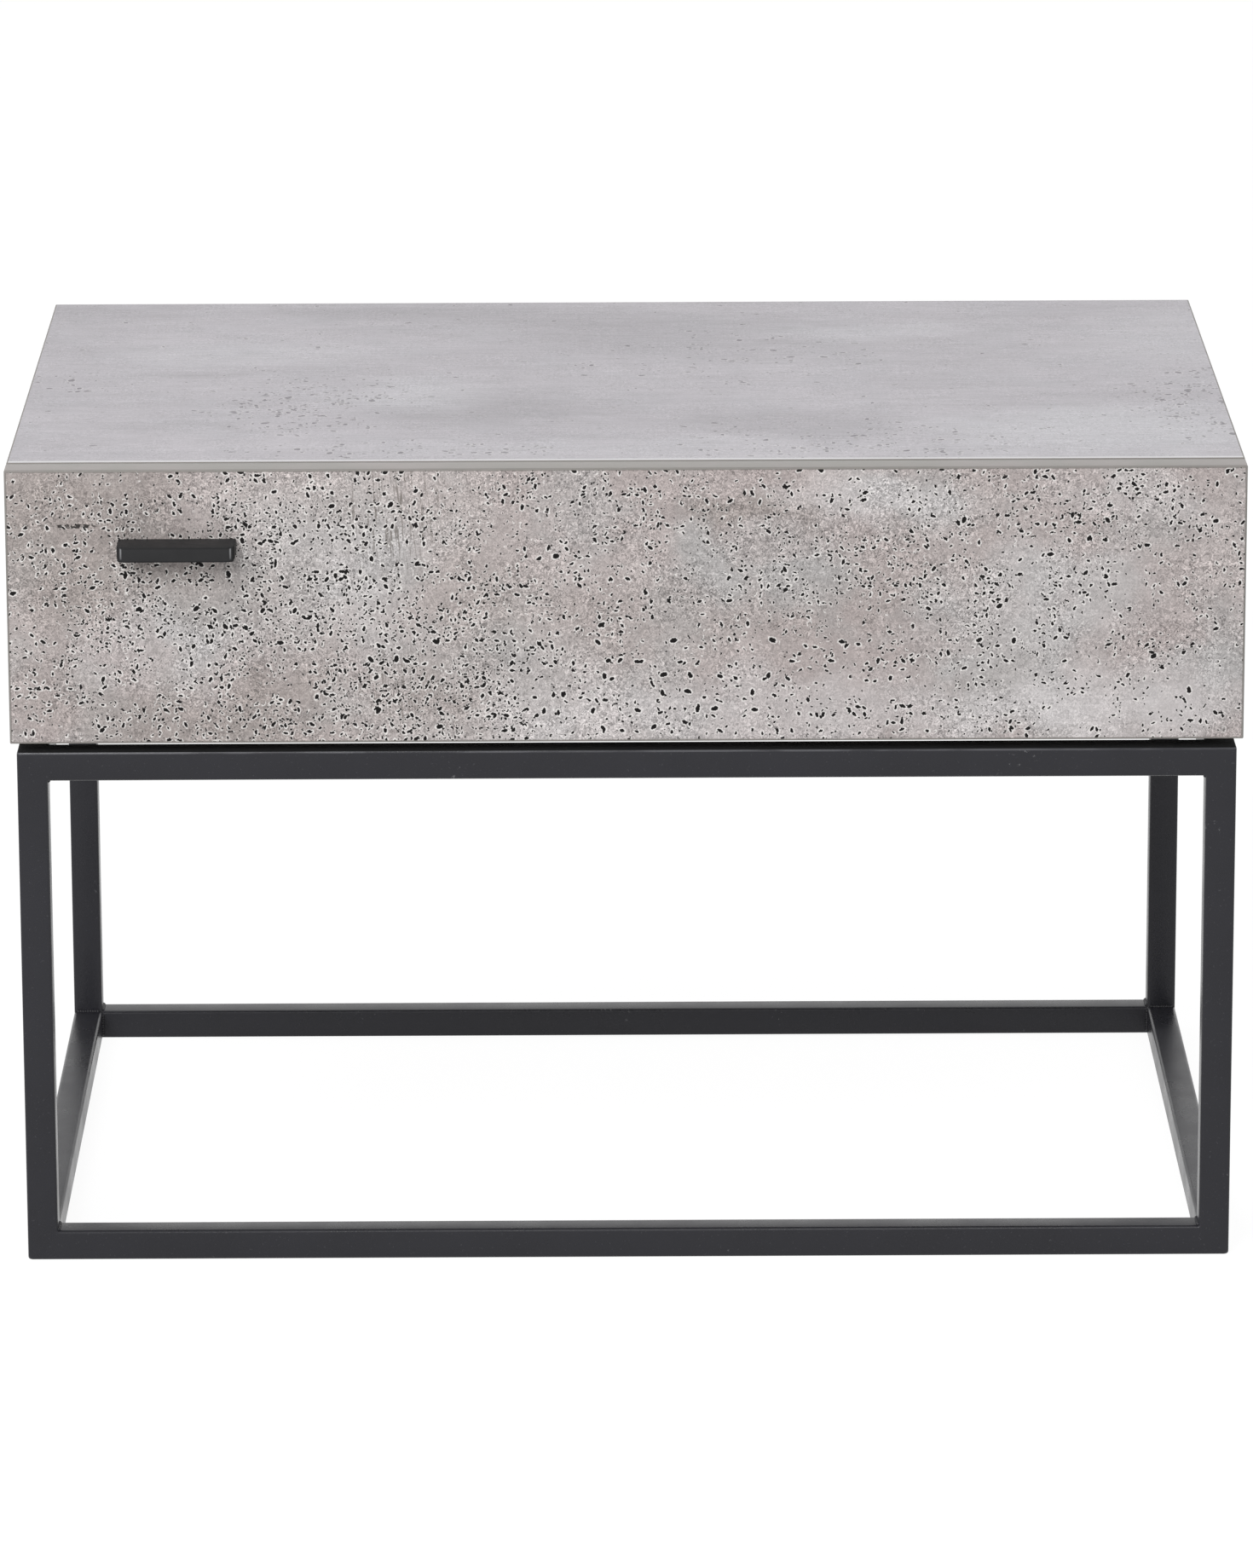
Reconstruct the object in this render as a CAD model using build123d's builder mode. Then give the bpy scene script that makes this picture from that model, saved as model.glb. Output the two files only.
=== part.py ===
"""Side table: a one-drawer box in concrete-look board on a welded square-tube base.

Millimetres, +Z up, +X to the right, and the drawer faces -Y. The origin lies on the floor,
below the middle of the overall outline with the handle included.
"""

import os

from build123d import *

# ---------------------------------------------------------------------------------------------
# Driving sizes
# ---------------------------------------------------------------------------------------------

# Overall
table_width = 600.0
table_depth = 400.0
table_height = 400.0

# Base frame of square tube
frame_height = 260.0
frame_side_inset = 3.0
frame_front_inset = 0.5
frame_rear_inset = 3.0
tube = 15.0
tube_wall = 1.5
tube_corner = 1.6
tube_inner_corner = 0.3
weld_leg = 2.2
shadow_gap = 4.0

# Bolts between frame and box
bolt_inset = 120.0
bolt_radius = 3.0
bolt_hole_play = 0.2
bolt_head_radius = 5.2
bolt_head_height = 3.3
bolt_head_round = 1.1
bolt_socket_radius = 2.0
bolt_socket_depth = 2.0
bolt_grip = 11.0
spacer_radius = 6.0
insert_radius = 5.0
insert_length = 13.0

# Carcass board
board = 16.0
edging = 0.8
edging_round = 0.5
edging_seam = 0.05
front_thickness = 16.0
front_gap = 1.5

# Carcass fittings
cam_radius = 7.5
cam_depth = 12.0
cam_setback = 24.0
cam_slot_width = 1.2
cam_slot_depth = 1.5
cam_play = 0.4
cam_bolt_radius = 3.0
cam_bolt_neck = 1.8
cam_bolt_neck_length = 3.0
cam_thread_radius = 2.5
cam_thread_length = 11.0
joint_front_inset = 50.0
joint_rear_inset = 60.0
dowel_spacing = 32.0
dowel_radius = 4.0
dowel_short_end = 12.0
dowel_long_end = 18.0
dowel_end_play = 0.5
panel_screw_radius = 2.5
panel_screw_shank = 3.5
panel_screw_head = 5.0
panel_screw_head_height = 1.5
panel_screw_bite = 34.0
back_dowel_height = 26.0

# Drawer box
drawer_board = 12.0
drawer_top_play = 12.0
drawer_rear_play = 16.0
drawer_lift = 10.0
drawer_sheet = 3.0
drawer_sheet_height = 8.0
groove_depth = 5.0
groove_end_play = 0.5
groove_play = 0.2
drawer_travel = 260.0

# Drawer fittings
drawer_cam_radius = 6.0
drawer_cam_depth = 9.0
drawer_bolt_radius = 2.5
drawer_bolt_neck = 1.5
drawer_dowel_radius = 3.0
drawer_dowel_edge = 10.0
drawer_dowel_rise = 4.8
drawer_dowel_short_end = 12.0
drawer_dowel_long_end = 14.0
drawer_screw_radius = 1.75
drawer_screw_head = 3.5
drawer_screw_head_height = 2.0
drawer_screw_bite = 28.0
drawer_screw_edge = 20.0
drawer_screw_above_runner = 13.5
bumper_radius = 4.0
bumper_play = 0.3
bumper_inset = 30.0

# Runners
runner_gap = 12.5
runner_sheet = 1.2
runner_setback = 1.5
drawer_runner_setback = 1.0
channel_lip_play = 1.8
channel_drop = 1.0
flange_play = 0.5
runner_side_play = 1.0
roller_radius = 10.0
roller_inset = 12.0
roller_play = 0.3
roller_top_play = 0.8
roller_edge = 0.6
roller_side_play = 0.5
roller_bore_play = 0.05
roller_recess_radius = 4.4
roller_recess_depth = 1.4
pin_radius = 2.5
pin_collar_radius = 3.8
pin_collar_height = 0.4
pin_head_radius = 4.0
pin_head_height = 1.0
pin_head_play = 0.2
stop_height = 3.0
stop_thickness = 1.2
stop_play = 0.5
runner_screw_radius = 1.6
runner_screw_head = 2.8
runner_screw_bite = 12.0
drawer_runner_screw_bite = 6.5
runner_screw_first = 32.0
runner_screw_pitch = 120.0
runner_screw_count = 3

# Handle
handle_length = 57.0
handle_projection = 18.0
handle_height = 7.4
handle_from_left = 83.0
handle_below_top = 34.0
handle_corner = 4.0
handle_wall = 2.2
handle_ceiling = 2.0
handle_end_round = 1.5
handle_edge_round = 0.4
handle_boss_width = 8.0
handle_boss_depth = 9.0
handle_screw_spacing = 32.0
handle_screw_radius = 2.0
handle_screw_play = 0.25
handle_screw_bite = 6.5
handle_screw_end_play = 0.5
handle_screw_head_radius = 4.0
handle_screw_head_height = 2.4

# ---------------------------------------------------------------------------------------------
# Places worked out from the driving sizes
# ---------------------------------------------------------------------------------------------

UP = Vector(0, 0, 1)
DOWN = Vector(0, 0, -1)
FORWARD = Vector(0, -1, 0)
REARWARD = Vector(0, 1, 0)
SIDES = (("left", -1), ("right", 1))

half_width = table_width / 2
front_y = (handle_projection - table_depth) / 2
rear_y = front_y + table_depth

frame_front = front_y + frame_front_inset
frame_rear = rear_y - frame_rear_inset
post_x = half_width - frame_side_inset - tube / 2
side_rail_front = frame_front + tube
side_rail_rear = frame_rear - tube
tube_flat = tube - 2 * tube_corner
tube_bore = tube - 2 * tube_wall
bolt_ys = (side_rail_front + bolt_inset, side_rail_rear - bolt_inset)

box_bottom = frame_height + shadow_gap
floor_top = box_bottom + board
lid_under = table_height - board
inner_x = half_width - board
back_y = rear_y - board
front_back_y = front_y + front_thickness
carcass_front = front_back_y + front_gap

joint_x = half_width - board / 2
cam_ys = (carcass_front + joint_front_inset, rear_y - joint_rear_inset)
dowel_ys = (cam_ys[0] + dowel_spacing, cam_ys[1] - dowel_spacing)
panel_screw_ys = [(cam_y + dowel_y) / 2 for cam_y, dowel_y in zip(cam_ys, dowel_ys)]
cam_z = lid_under - cam_setback
back_dowel_zs = (floor_top + back_dowel_height, lid_under - back_dowel_height)

drawer_x = inner_x - runner_gap
drawer_inner_x = drawer_x - drawer_board
drawer_bottom = floor_top + drawer_lift
drawer_top = lid_under - drawer_top_play
drawer_rear = back_y - drawer_rear_play
drawer_back_y = drawer_rear - drawer_board
sheet_bottom = drawer_bottom + drawer_sheet_height
sheet_x = drawer_inner_x + groove_depth - groove_end_play
drawer_joint_x = drawer_x - drawer_board / 2
drawer_cam_y = front_back_y + cam_setback
drawer_dowel_zs = (
    sheet_bottom + drawer_sheet + groove_play + drawer_dowel_rise,
    drawer_top - drawer_dowel_edge,
)
drawer_bolt_z = sum(drawer_dowel_zs) / 2

runner_length = drawer_rear - front_back_y - 2 * drawer_runner_setback
roller_width = runner_gap - 2 * runner_sheet - roller_side_play - runner_side_play
cabinet_web_x = inner_x - runner_sheet
drawer_web_x = drawer_x + runner_sheet
channel_inner_x = drawer_web_x + channel_lip_play
cabinet_runner_front = carcass_front + runner_setback
drawer_runner_front = front_back_y + drawer_runner_setback
channel_bottom = drawer_bottom - channel_drop
track_z = channel_bottom + runner_sheet
drawer_roller_z = track_z + roller_play + roller_radius
flange_z = drawer_roller_z + roller_radius + roller_top_play
cabinet_roller_z = flange_z - roller_play - roller_radius
channel_top = flange_z + runner_sheet + flange_play + runner_sheet
cabinet_roller_y = cabinet_runner_front + roller_inset
drawer_roller_y = drawer_runner_front + runner_length - roller_inset
channel_middle_z = (channel_bottom + channel_top) / 2
runner_screw_steps = [
    runner_screw_first + step * runner_screw_pitch for step in range(runner_screw_count)
]
drawer_screw_zs = (
    flange_z + runner_sheet + drawer_screw_above_runner,
    drawer_top - drawer_screw_edge,
)

handle_x = handle_from_left - half_width
handle_top = table_height - handle_below_top
handle_bottom = handle_top - handle_height
handle_middle_z = handle_top - handle_height / 2
handle_tip = front_y - handle_projection
handle_screw_xs = (handle_x - handle_screw_spacing / 2, handle_x + handle_screw_spacing / 2)

os.makedirs("parts", exist_ok=True)


# ---------------------------------------------------------------------------------------------
# Helpers
# ---------------------------------------------------------------------------------------------


def save(piece, name):
    """Label a finished piece and write it as its own STEP file."""
    piece.part.label = name
    export_step(piece.part, f"parts/{name}.step")


def block(xs, ys, zs, mode=Mode.ADD):
    """Box between two limits along each axis, whichever way round they are given."""
    middle = [(first + last) / 2 for first, last in (xs, ys, zs)]
    size = [abs(last - first) for first, last in (xs, ys, zs)]
    with Locations(tuple(middle)):
        Box(*size, mode=mode)


def facing(points, direction):
    """Planes at the points, each looking along the direction."""
    return [Plane(origin=point, z_dir=direction) for point in points]


def drill(points, outward, radius, depth):
    """Round holes into a face, straight in from points on it."""
    with Locations(*facing(points, outward)):
        Hole(radius, depth)


def rods(points, direction, radius, start, stop, mode=Mode.ADD):
    """Round bars along the direction, from start to stop as measured from each point."""
    with Locations(*[plane.offset(start) for plane in facing(points, direction)]):
        Cylinder(radius, stop - start, align=(Align.CENTER, Align.CENTER, Align.MIN), mode=mode)


def flat_head_screws(points, outward, head, head_height, shank, length, mode=Mode.ADD):
    """Countersunk screws whose heads lie flush with the face they are driven into."""
    with Locations(*[plane.offset(-head_height) for plane in facing(points, outward)]):
        Cone(shank, head, head_height, align=(Align.CENTER, Align.CENTER, Align.MIN), mode=mode)
    rods(points, outward, shank, -length, -head_height, mode)


def cams(frames, radius, depth, bolt_axis_depth, bore):
    """Cams flush with a board's face, each bored on the side that its bolt comes from (+X)."""
    reach = bore + cam_play
    with Locations(*frames):
        Cylinder(radius, depth, align=(Align.CENTER, Align.CENTER, Align.MAX))
        with Locations((-reach, 0, -bolt_axis_depth)):
            Cylinder(
                bore,
                radius + 2 * reach,
                rotation=(0, 90, 0),
                align=(Align.CENTER, Align.CENTER, Align.MIN),
                mode=Mode.SUBTRACT,
            )
        for length, width in ((radius, cam_slot_width), (cam_slot_width, radius)):
            Box(
                length,
                width,
                cam_slot_depth,
                align=(Align.CENTER, Align.CENTER, Align.MAX),
                mode=Mode.SUBTRACT,
            )


def cam_bolts(points, direction, thread, thread_length, shank, neck, reach):
    """Bolts that stand on a board's face at the points and end in a head inside a cam."""
    neck_start = reach - shank - cam_bolt_neck_length
    rods(points, direction, thread, -thread_length, 0)
    rods(points, direction, shank, 0, neck_start)
    rods(points, direction, neck, neck_start, neck_start + cam_bolt_neck_length)
    rods(points, direction, shank, neck_start + cam_bolt_neck_length, reach + shank)


def tube_profile():
    """Hollow square section with rounded corners."""
    RectangleRounded(tube, tube, tube_corner)
    RectangleRounded(tube_bore, tube_bore, tube_inner_corner, mode=Mode.SUBTRACT)


def section_plane(side, y):
    """Upright plane across the table: its x runs outward from the middle, its y runs up."""
    return Plane(origin=(0, y, 0), x_dir=(side, 0, 0), z_dir=(0, -side, 0))


# ---------------------------------------------------------------------------------------------
# Base frame: two mitred rectangles joined by four rails
# ---------------------------------------------------------------------------------------------

low_z = tube / 2
high_z = frame_height - tube / 2

for end_name, line_y in (("front", frame_front + tube / 2), ("rear", frame_rear - tube / 2)):
    low_left = Vector(-post_x, line_y, low_z)
    low_right = Vector(post_x, line_y, low_z)
    high_left = Vector(-post_x, line_y, high_z)
    high_right = Vector(post_x, line_y, high_z)
    bars = (
        (f"{end_name}_left_leg", low_left, high_left, Vector(1, 0, 0)),
        (f"{end_name}_right_leg", low_right, high_right, Vector(-1, 0, 0)),
        (f"{end_name}_bottom_rail", low_left, low_right, UP),
        (f"{end_name}_top_rail", high_left, high_right, DOWN),
    )
    for bar_name, start, end, inward in bars:
        run = (end - start).normalized()
        with BuildPart() as bar:
            with BuildSketch(Plane(origin=start - run * tube / 2, x_dir=(0, 1, 0), z_dir=run)):
                tube_profile()
            extrude(amount=(end - start).length + tube)
            split(bisect_by=Plane(origin=start, z_dir=run - inward), keep=Keep.TOP)
            split(bisect_by=Plane(origin=end, z_dir=-run - inward), keep=Keep.TOP)
        save(bar, bar_name)

for side_name, side in SIDES:
    for level_name, level_z in (("bottom", low_z), ("top", high_z)):
        with BuildPart() as side_rail:
            rail_start = (side * post_x, side_rail_front, level_z)
            with BuildSketch(Plane(origin=rail_start, x_dir=(1, 0, 0), z_dir=REARWARD)):
                tube_profile()
            extrude(amount=side_rail_rear - side_rail_front)
            if level_name == "top":
                bolt_tops = [(side * post_x, y, frame_height) for y in bolt_ys]
                drill(bolt_tops, UP, bolt_radius + bolt_hole_play, tube)
        save(side_rail, f"{side_name}_{level_name}_rail")

weld_corners = []
for side in (-1, 1):
    inner_post_x = side * (post_x - tube / 2)
    into_frame = Vector(-side, 0, 0)
    for level_z, open_way in ((tube, UP), (frame_height - tube, DOWN)):
        rail_middle_z = level_z - open_way.Z * tube / 2
        for line_y in (frame_front + tube / 2, frame_rear - tube / 2):
            weld_corners.append((Vector(inner_post_x, line_y, level_z), into_frame, open_way))
        for end_y, run in ((side_rail_front, REARWARD), (side_rail_rear, FORWARD)):
            weld_corners.append((Vector(side * post_x, end_y, level_z), run, open_way))
            weld_corners.append((Vector(inner_post_x, end_y, rail_middle_z), run, into_frame))

with BuildPart() as frame_welds:
    for corner, first_leg, second_leg in weld_corners:
        bead_run = first_leg.cross(second_leg)
        bead_start = corner - bead_run * tube_flat / 2
        with BuildSketch(Plane(origin=bead_start, x_dir=first_leg, z_dir=bead_run)):
            with BuildLine():
                Polyline((0, 0), (weld_leg, 0), (0, weld_leg), close=True)
            make_face()
        extrude(amount=tube_flat)
save(frame_welds, "frame_welds")

# ---------------------------------------------------------------------------------------------
# Fixing of the box on the frame
# ---------------------------------------------------------------------------------------------

gap_points = [(side * post_x, y, frame_height) for side in (-1, 1) for y in bolt_ys]
insert_points = [(x, y, box_bottom) for x, y, _ in gap_points]
head_points = [(x, y, frame_height - tube) for x, y, _ in gap_points]
bolt_length = tube + shadow_gap + bolt_grip

with BuildPart() as frame_spacers:
    rods(gap_points, UP, spacer_radius, 0, shadow_gap)
    rods(gap_points, UP, bolt_radius + bolt_hole_play, 0, shadow_gap, Mode.SUBTRACT)
save(frame_spacers, "frame_spacers")

with BuildPart() as box_inserts:
    rods(insert_points, UP, insert_radius, 0, insert_length)
    rods(insert_points, UP, bolt_radius, 0, insert_length, Mode.SUBTRACT)
save(box_inserts, "box_inserts")

with BuildPart() as frame_bolts:
    rods(head_points, UP, bolt_radius, 0, bolt_length)
    rods(head_points, DOWN, bolt_head_radius, 0, bolt_head_height)
    head_rims = frame_bolts.edges().filter_by(GeomType.CIRCLE).group_by(Axis.Z)[0]
    fillet(head_rims, radius=bolt_head_round)
    with BuildSketch(Plane.XY.offset(frame_height - tube - bolt_head_height)):
        with Locations(*[(x, y) for x, y, _ in head_points]):
            RegularPolygon(bolt_socket_radius, 6)
    extrude(amount=bolt_socket_depth, mode=Mode.SUBTRACT)
save(frame_bolts, "frame_bolts")

# ---------------------------------------------------------------------------------------------
# Carcass
# ---------------------------------------------------------------------------------------------

cam_points = [(side * joint_x, y, lid_under) for side in (-1, 1) for y in cam_ys]
top_dowel_points = [(side * joint_x, y, lid_under) for side in (-1, 1) for y in dowel_ys]
low_dowel_points = [(x, y, floor_top) for x, y, _ in top_dowel_points]
panel_screw_points = [(side * joint_x, y, box_bottom) for side in (-1, 1) for y in panel_screw_ys]
panel_screw_length = board + panel_screw_bite
cam_bolt_depth = board / 2

with BuildPart() as top_panel:
    core_x = half_width - edging
    block((-core_x, core_x), (carcass_front + edging, rear_y - edging), (lid_under, table_height))
    drill(cam_points, DOWN, cam_thread_radius, cam_thread_length)
    drill(top_dowel_points, DOWN, dowel_radius, dowel_short_end + dowel_end_play)
save(top_panel, "top_panel")

with BuildPart() as bottom_panel:
    block((-core_x, core_x), (carcass_front + edging, rear_y - edging), (box_bottom, floor_top))
    drill(insert_points, DOWN, insert_radius, insert_length)
    drill(low_dowel_points, UP, dowel_radius, dowel_short_end + dowel_end_play)
    flat_head_screws(
        panel_screw_points,
        DOWN,
        panel_screw_head,
        panel_screw_head_height,
        panel_screw_shank,
        board,
        Mode.SUBTRACT,
    )
save(bottom_panel, "bottom_panel")

for side_name, side in SIDES:
    here = [point for point in cam_points if point[0] * side > 0]
    dowels_here = [point for point in top_dowel_points if point[0] * side > 0]
    pockets = [(side * inner_x, y, cam_z) for y in cam_ys]
    back_dowels_here = [(side * inner_x, rear_y - board / 2, z) for z in back_dowel_zs]
    runner_screws_here = [
        (side * inner_x, cabinet_runner_front + step, channel_middle_z)
        for step in runner_screw_steps
    ]
    inward = Vector(-side, 0, 0)
    with BuildPart() as side_panel:
        block(
            (side * inner_x, side * half_width),
            (carcass_front + edging, rear_y - edging),
            (floor_top, lid_under),
        )
        drill(here, UP, cam_bolt_radius + cam_play, cam_setback)
        drill(pockets, inward, cam_radius, cam_depth)
        drill(dowels_here, UP, dowel_radius, dowel_long_end + dowel_end_play)
        drill(
            [(x, y, floor_top) for x, y, _ in dowels_here],
            DOWN,
            dowel_radius,
            dowel_long_end + dowel_end_play,
        )
        drill(
            [(side * joint_x, y, floor_top) for y in panel_screw_ys],
            DOWN,
            panel_screw_radius,
            panel_screw_bite,
        )
        drill(back_dowels_here, inward, dowel_radius, dowel_short_end + dowel_end_play)
        drill(runner_screws_here, inward, runner_screw_radius, runner_screw_bite)
    save(side_panel, f"{side_name}_side_panel")

with BuildPart() as back_panel:
    block((-inner_x, inner_x), (back_y, rear_y), (floor_top, lid_under))
    for side in (-1, 1):
        end_points = [(side * inner_x, rear_y - board / 2, z) for z in back_dowel_zs]
        drill(end_points, Vector(side, 0, 0), dowel_radius, dowel_long_end + dowel_end_play)
save(back_panel, "back_panel")


def edge_strip(xs, ys, zs, outward):
    """Thin edging strip with its outer long edges eased, as its own solid."""
    with BuildPart() as strip:
        block(xs, ys, zs)
        outer_face = strip.faces().sort_by(Axis((0, 0, 0), outward))[-1]
        longest = outer_face.edges().sort_by(SortBy.LENGTH)[-2:]
        fillet(longest, radius=edging_round)
    return strip.part


def board_edging(xs, ys, zs):
    """Four strips round a level board, given the board's outer limits with its edging."""
    short_ys = (ys[0] + edging + edging_seam, ys[1] - edging - edging_seam)
    return [
        edge_strip(xs, (ys[0], ys[0] + edging), zs, (0, -1, 0)),
        edge_strip(xs, (ys[1] - edging, ys[1]), zs, (0, 1, 0)),
        edge_strip((xs[0], xs[0] + edging), short_ys, zs, (-1, 0, 0)),
        edge_strip((xs[1] - edging, xs[1]), short_ys, zs, (1, 0, 0)),
    ]


full_xs = (-half_width, half_width)
carcass_ys = (carcass_front, rear_y)

with BuildPart() as top_panel_edging:
    add(board_edging(full_xs, carcass_ys, (lid_under, table_height)))
save(top_panel_edging, "top_panel_edging")

with BuildPart() as bottom_panel_edging:
    add(board_edging(full_xs, carcass_ys, (box_bottom, floor_top)))
save(bottom_panel_edging, "bottom_panel_edging")

with BuildPart() as side_panel_edging:
    for side in (-1, 1):
        wall_xs = (side * inner_x, side * half_width)
        wall_zs = (floor_top, lid_under)
        add(edge_strip(wall_xs, (carcass_front, carcass_front + edging), wall_zs, (0, -1, 0)))
        add(edge_strip(wall_xs, (rear_y - edging, rear_y), wall_zs, (0, 1, 0)))
save(side_panel_edging, "side_panel_edging")

with BuildPart() as carcass_cams:
    cam_frames = [
        Plane(origin=(side * inner_x, y, cam_z), x_dir=UP, z_dir=(-side, 0, 0))
        for side in (-1, 1)
        for y in cam_ys
    ]
    cams(cam_frames, cam_radius, cam_depth, cam_bolt_depth, cam_bolt_radius + cam_play)
save(carcass_cams, "carcass_cams")

with BuildPart() as carcass_cam_bolts:
    cam_bolts(
        cam_points,
        DOWN,
        cam_thread_radius,
        cam_thread_length,
        cam_bolt_radius,
        cam_bolt_neck,
        cam_setback - cam_bolt_radius,
    )
save(carcass_cam_bolts, "carcass_cam_bolts")

with BuildPart() as carcass_dowels:
    rods(top_dowel_points, UP, dowel_radius, -dowel_long_end, dowel_short_end)
    rods(low_dowel_points, DOWN, dowel_radius, -dowel_long_end, dowel_short_end)
    for side in (-1, 1):
        end_points = [(side * inner_x, rear_y - board / 2, z) for z in back_dowel_zs]
        rods(end_points, Vector(side, 0, 0), dowel_radius, -dowel_long_end, dowel_short_end)
save(carcass_dowels, "carcass_dowels")

with BuildPart() as carcass_screws:
    flat_head_screws(
        panel_screw_points,
        DOWN,
        panel_screw_head,
        panel_screw_head_height,
        panel_screw_shank,
        board,
    )
    rods(panel_screw_points, UP, panel_screw_radius, board, panel_screw_length)
save(carcass_screws, "carcass_screws")

# ---------------------------------------------------------------------------------------------
# Runners: a channel on each side panel, a hooked rail on each drawer side, four rollers
# ---------------------------------------------------------------------------------------------


def roller_planes(web_x, direction, y, z):
    """Planes on the left and right webs at a roller's place, looking along its pin."""
    return [
        Plane(origin=(side * web_x, y, z), z_dir=(side * direction, 0, 0)) for side in (-1, 1)
    ]


def roller(plane):
    """Nylon roller on its pin, with a recess for the pin's head."""
    recess_floor = roller_side_play + roller_width - roller_recess_depth
    with BuildPart() as wheel:
        with BuildSketch(plane.offset(roller_side_play)):
            Circle(roller_radius)
            Circle(pin_radius + roller_bore_play, mode=Mode.SUBTRACT)
        extrude(amount=roller_width)
        rims = wheel.edges().filter_by(GeomType.CIRCLE).sort_by(SortBy.RADIUS)[-2:]
        fillet(rims, radius=roller_edge)
        with BuildSketch(plane.offset(recess_floor)):
            Circle(roller_recess_radius)
        extrude(amount=roller_recess_depth, mode=Mode.SUBTRACT)
    return wheel


def roller_pins(planes):
    """Rivet pins through a web, with a collar under each roller and a head outside it."""
    head_start = roller_side_play + roller_width - roller_recess_depth + pin_head_play
    sizes = (
        (pin_radius, -runner_sheet, head_start),
        (pin_collar_radius, 0, pin_collar_height),
        (pin_head_radius, head_start, head_start + pin_head_height),
    )
    for radius, start, stop in sizes:
        with Locations(*[plane.offset(start) for plane in planes]):
            Cylinder(radius, stop - start, align=(Align.CENTER, Align.CENTER, Align.MIN))


cabinet_roller_planes = roller_planes(
    cabinet_web_x, -1, cabinet_roller_y, cabinet_roller_z
)
drawer_roller_planes = roller_planes(drawer_web_x, 1, drawer_roller_y, drawer_roller_z)
stop_drop = roller_radius + roller_play - stop_height
stop_reach = (roller_radius**2 - stop_drop**2) ** 0.5
stop_rear = drawer_roller_y - drawer_travel - stop_reach - stop_play
flange_outer_x = cabinet_web_x - runner_side_play
cabinet_screw_points = {}
drawer_screw_points = {}

for index, (side_name, side) in enumerate(SIDES):
    inward = Vector(-side, 0, 0)
    cabinet_screw_points[side] = [
        (side * cabinet_web_x, cabinet_runner_front + step, channel_middle_z)
        for step in runner_screw_steps
    ]
    with BuildPart() as cabinet_runner:
        with BuildSketch(section_plane(side, cabinet_runner_front)):
            with BuildLine():
                Polyline(
                    (inner_x, channel_bottom),
                    (channel_inner_x, channel_bottom),
                    (channel_inner_x, track_z),
                    (cabinet_web_x, track_z),
                    (cabinet_web_x, channel_top - runner_sheet),
                    (channel_inner_x, channel_top - runner_sheet),
                    (channel_inner_x, channel_top),
                    (inner_x, channel_top),
                    close=True,
                )
            make_face()
        extrude(amount=-side * runner_length)
        block(
            (side * channel_inner_x, side * cabinet_web_x),
            (stop_rear - stop_thickness, stop_rear),
            (track_z, track_z + stop_height),
        )
        flat_head_screws(
            cabinet_screw_points[side],
            inward,
            runner_screw_head,
            runner_sheet,
            runner_screw_radius,
            runner_sheet + runner_screw_bite,
            Mode.SUBTRACT,
        )
        pin_point = (side * cabinet_web_x, cabinet_roller_y, cabinet_roller_z)
        drill([pin_point], inward, pin_radius, runner_sheet)
    save(cabinet_runner, f"{side_name}_cabinet_runner")

    drawer_screw_points[side] = [
        (side * drawer_joint_x, drawer_runner_front + step, drawer_bottom - runner_sheet)
        for step in runner_screw_steps
    ]
    with BuildPart() as drawer_runner:
        with BuildSketch(section_plane(side, drawer_runner_front)):
            with BuildLine():
                Polyline(
                    (drawer_inner_x, drawer_bottom - runner_sheet),
                    (drawer_web_x, drawer_bottom - runner_sheet),
                    (drawer_web_x, flange_z),
                    (flange_outer_x, flange_z),
                    (flange_outer_x, flange_z + runner_sheet),
                    (drawer_x, flange_z + runner_sheet),
                    (drawer_x, drawer_bottom),
                    (drawer_inner_x, drawer_bottom),
                    close=True,
                )
            make_face()
        extrude(amount=-side * runner_length)
        flat_head_screws(
            drawer_screw_points[side],
            DOWN,
            runner_screw_head,
            runner_sheet,
            runner_screw_radius,
            runner_sheet + drawer_runner_screw_bite,
            Mode.SUBTRACT,
        )
        pin_point = (side * drawer_web_x, drawer_roller_y, drawer_roller_z)
        drill([pin_point], Vector(side, 0, 0), pin_radius, runner_sheet)
    save(drawer_runner, f"{side_name}_drawer_runner")

    save(roller(cabinet_roller_planes[index]), f"{side_name}_cabinet_roller")
    save(roller(drawer_roller_planes[index]), f"{side_name}_drawer_roller")

with BuildPart() as cabinet_roller_pins:
    roller_pins(cabinet_roller_planes)
save(cabinet_roller_pins, "cabinet_roller_pins")

with BuildPart() as drawer_roller_pins:
    roller_pins(drawer_roller_planes)
save(drawer_roller_pins, "drawer_roller_pins")

with BuildPart() as cabinet_runner_screws:
    for _, side in SIDES:
        flat_head_screws(
            cabinet_screw_points[side],
            Vector(-side, 0, 0),
            runner_screw_head,
            runner_sheet,
            runner_screw_radius,
            runner_sheet + runner_screw_bite,
        )
save(cabinet_runner_screws, "cabinet_runner_screws")

with BuildPart() as drawer_runner_screws:
    for _, side in SIDES:
        flat_head_screws(
            drawer_screw_points[side],
            DOWN,
            runner_screw_head,
            runner_sheet,
            runner_screw_radius,
            runner_sheet + drawer_runner_screw_bite,
        )
save(drawer_runner_screws, "drawer_runner_screws")

# ---------------------------------------------------------------------------------------------
# Drawer box
# ---------------------------------------------------------------------------------------------

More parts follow.
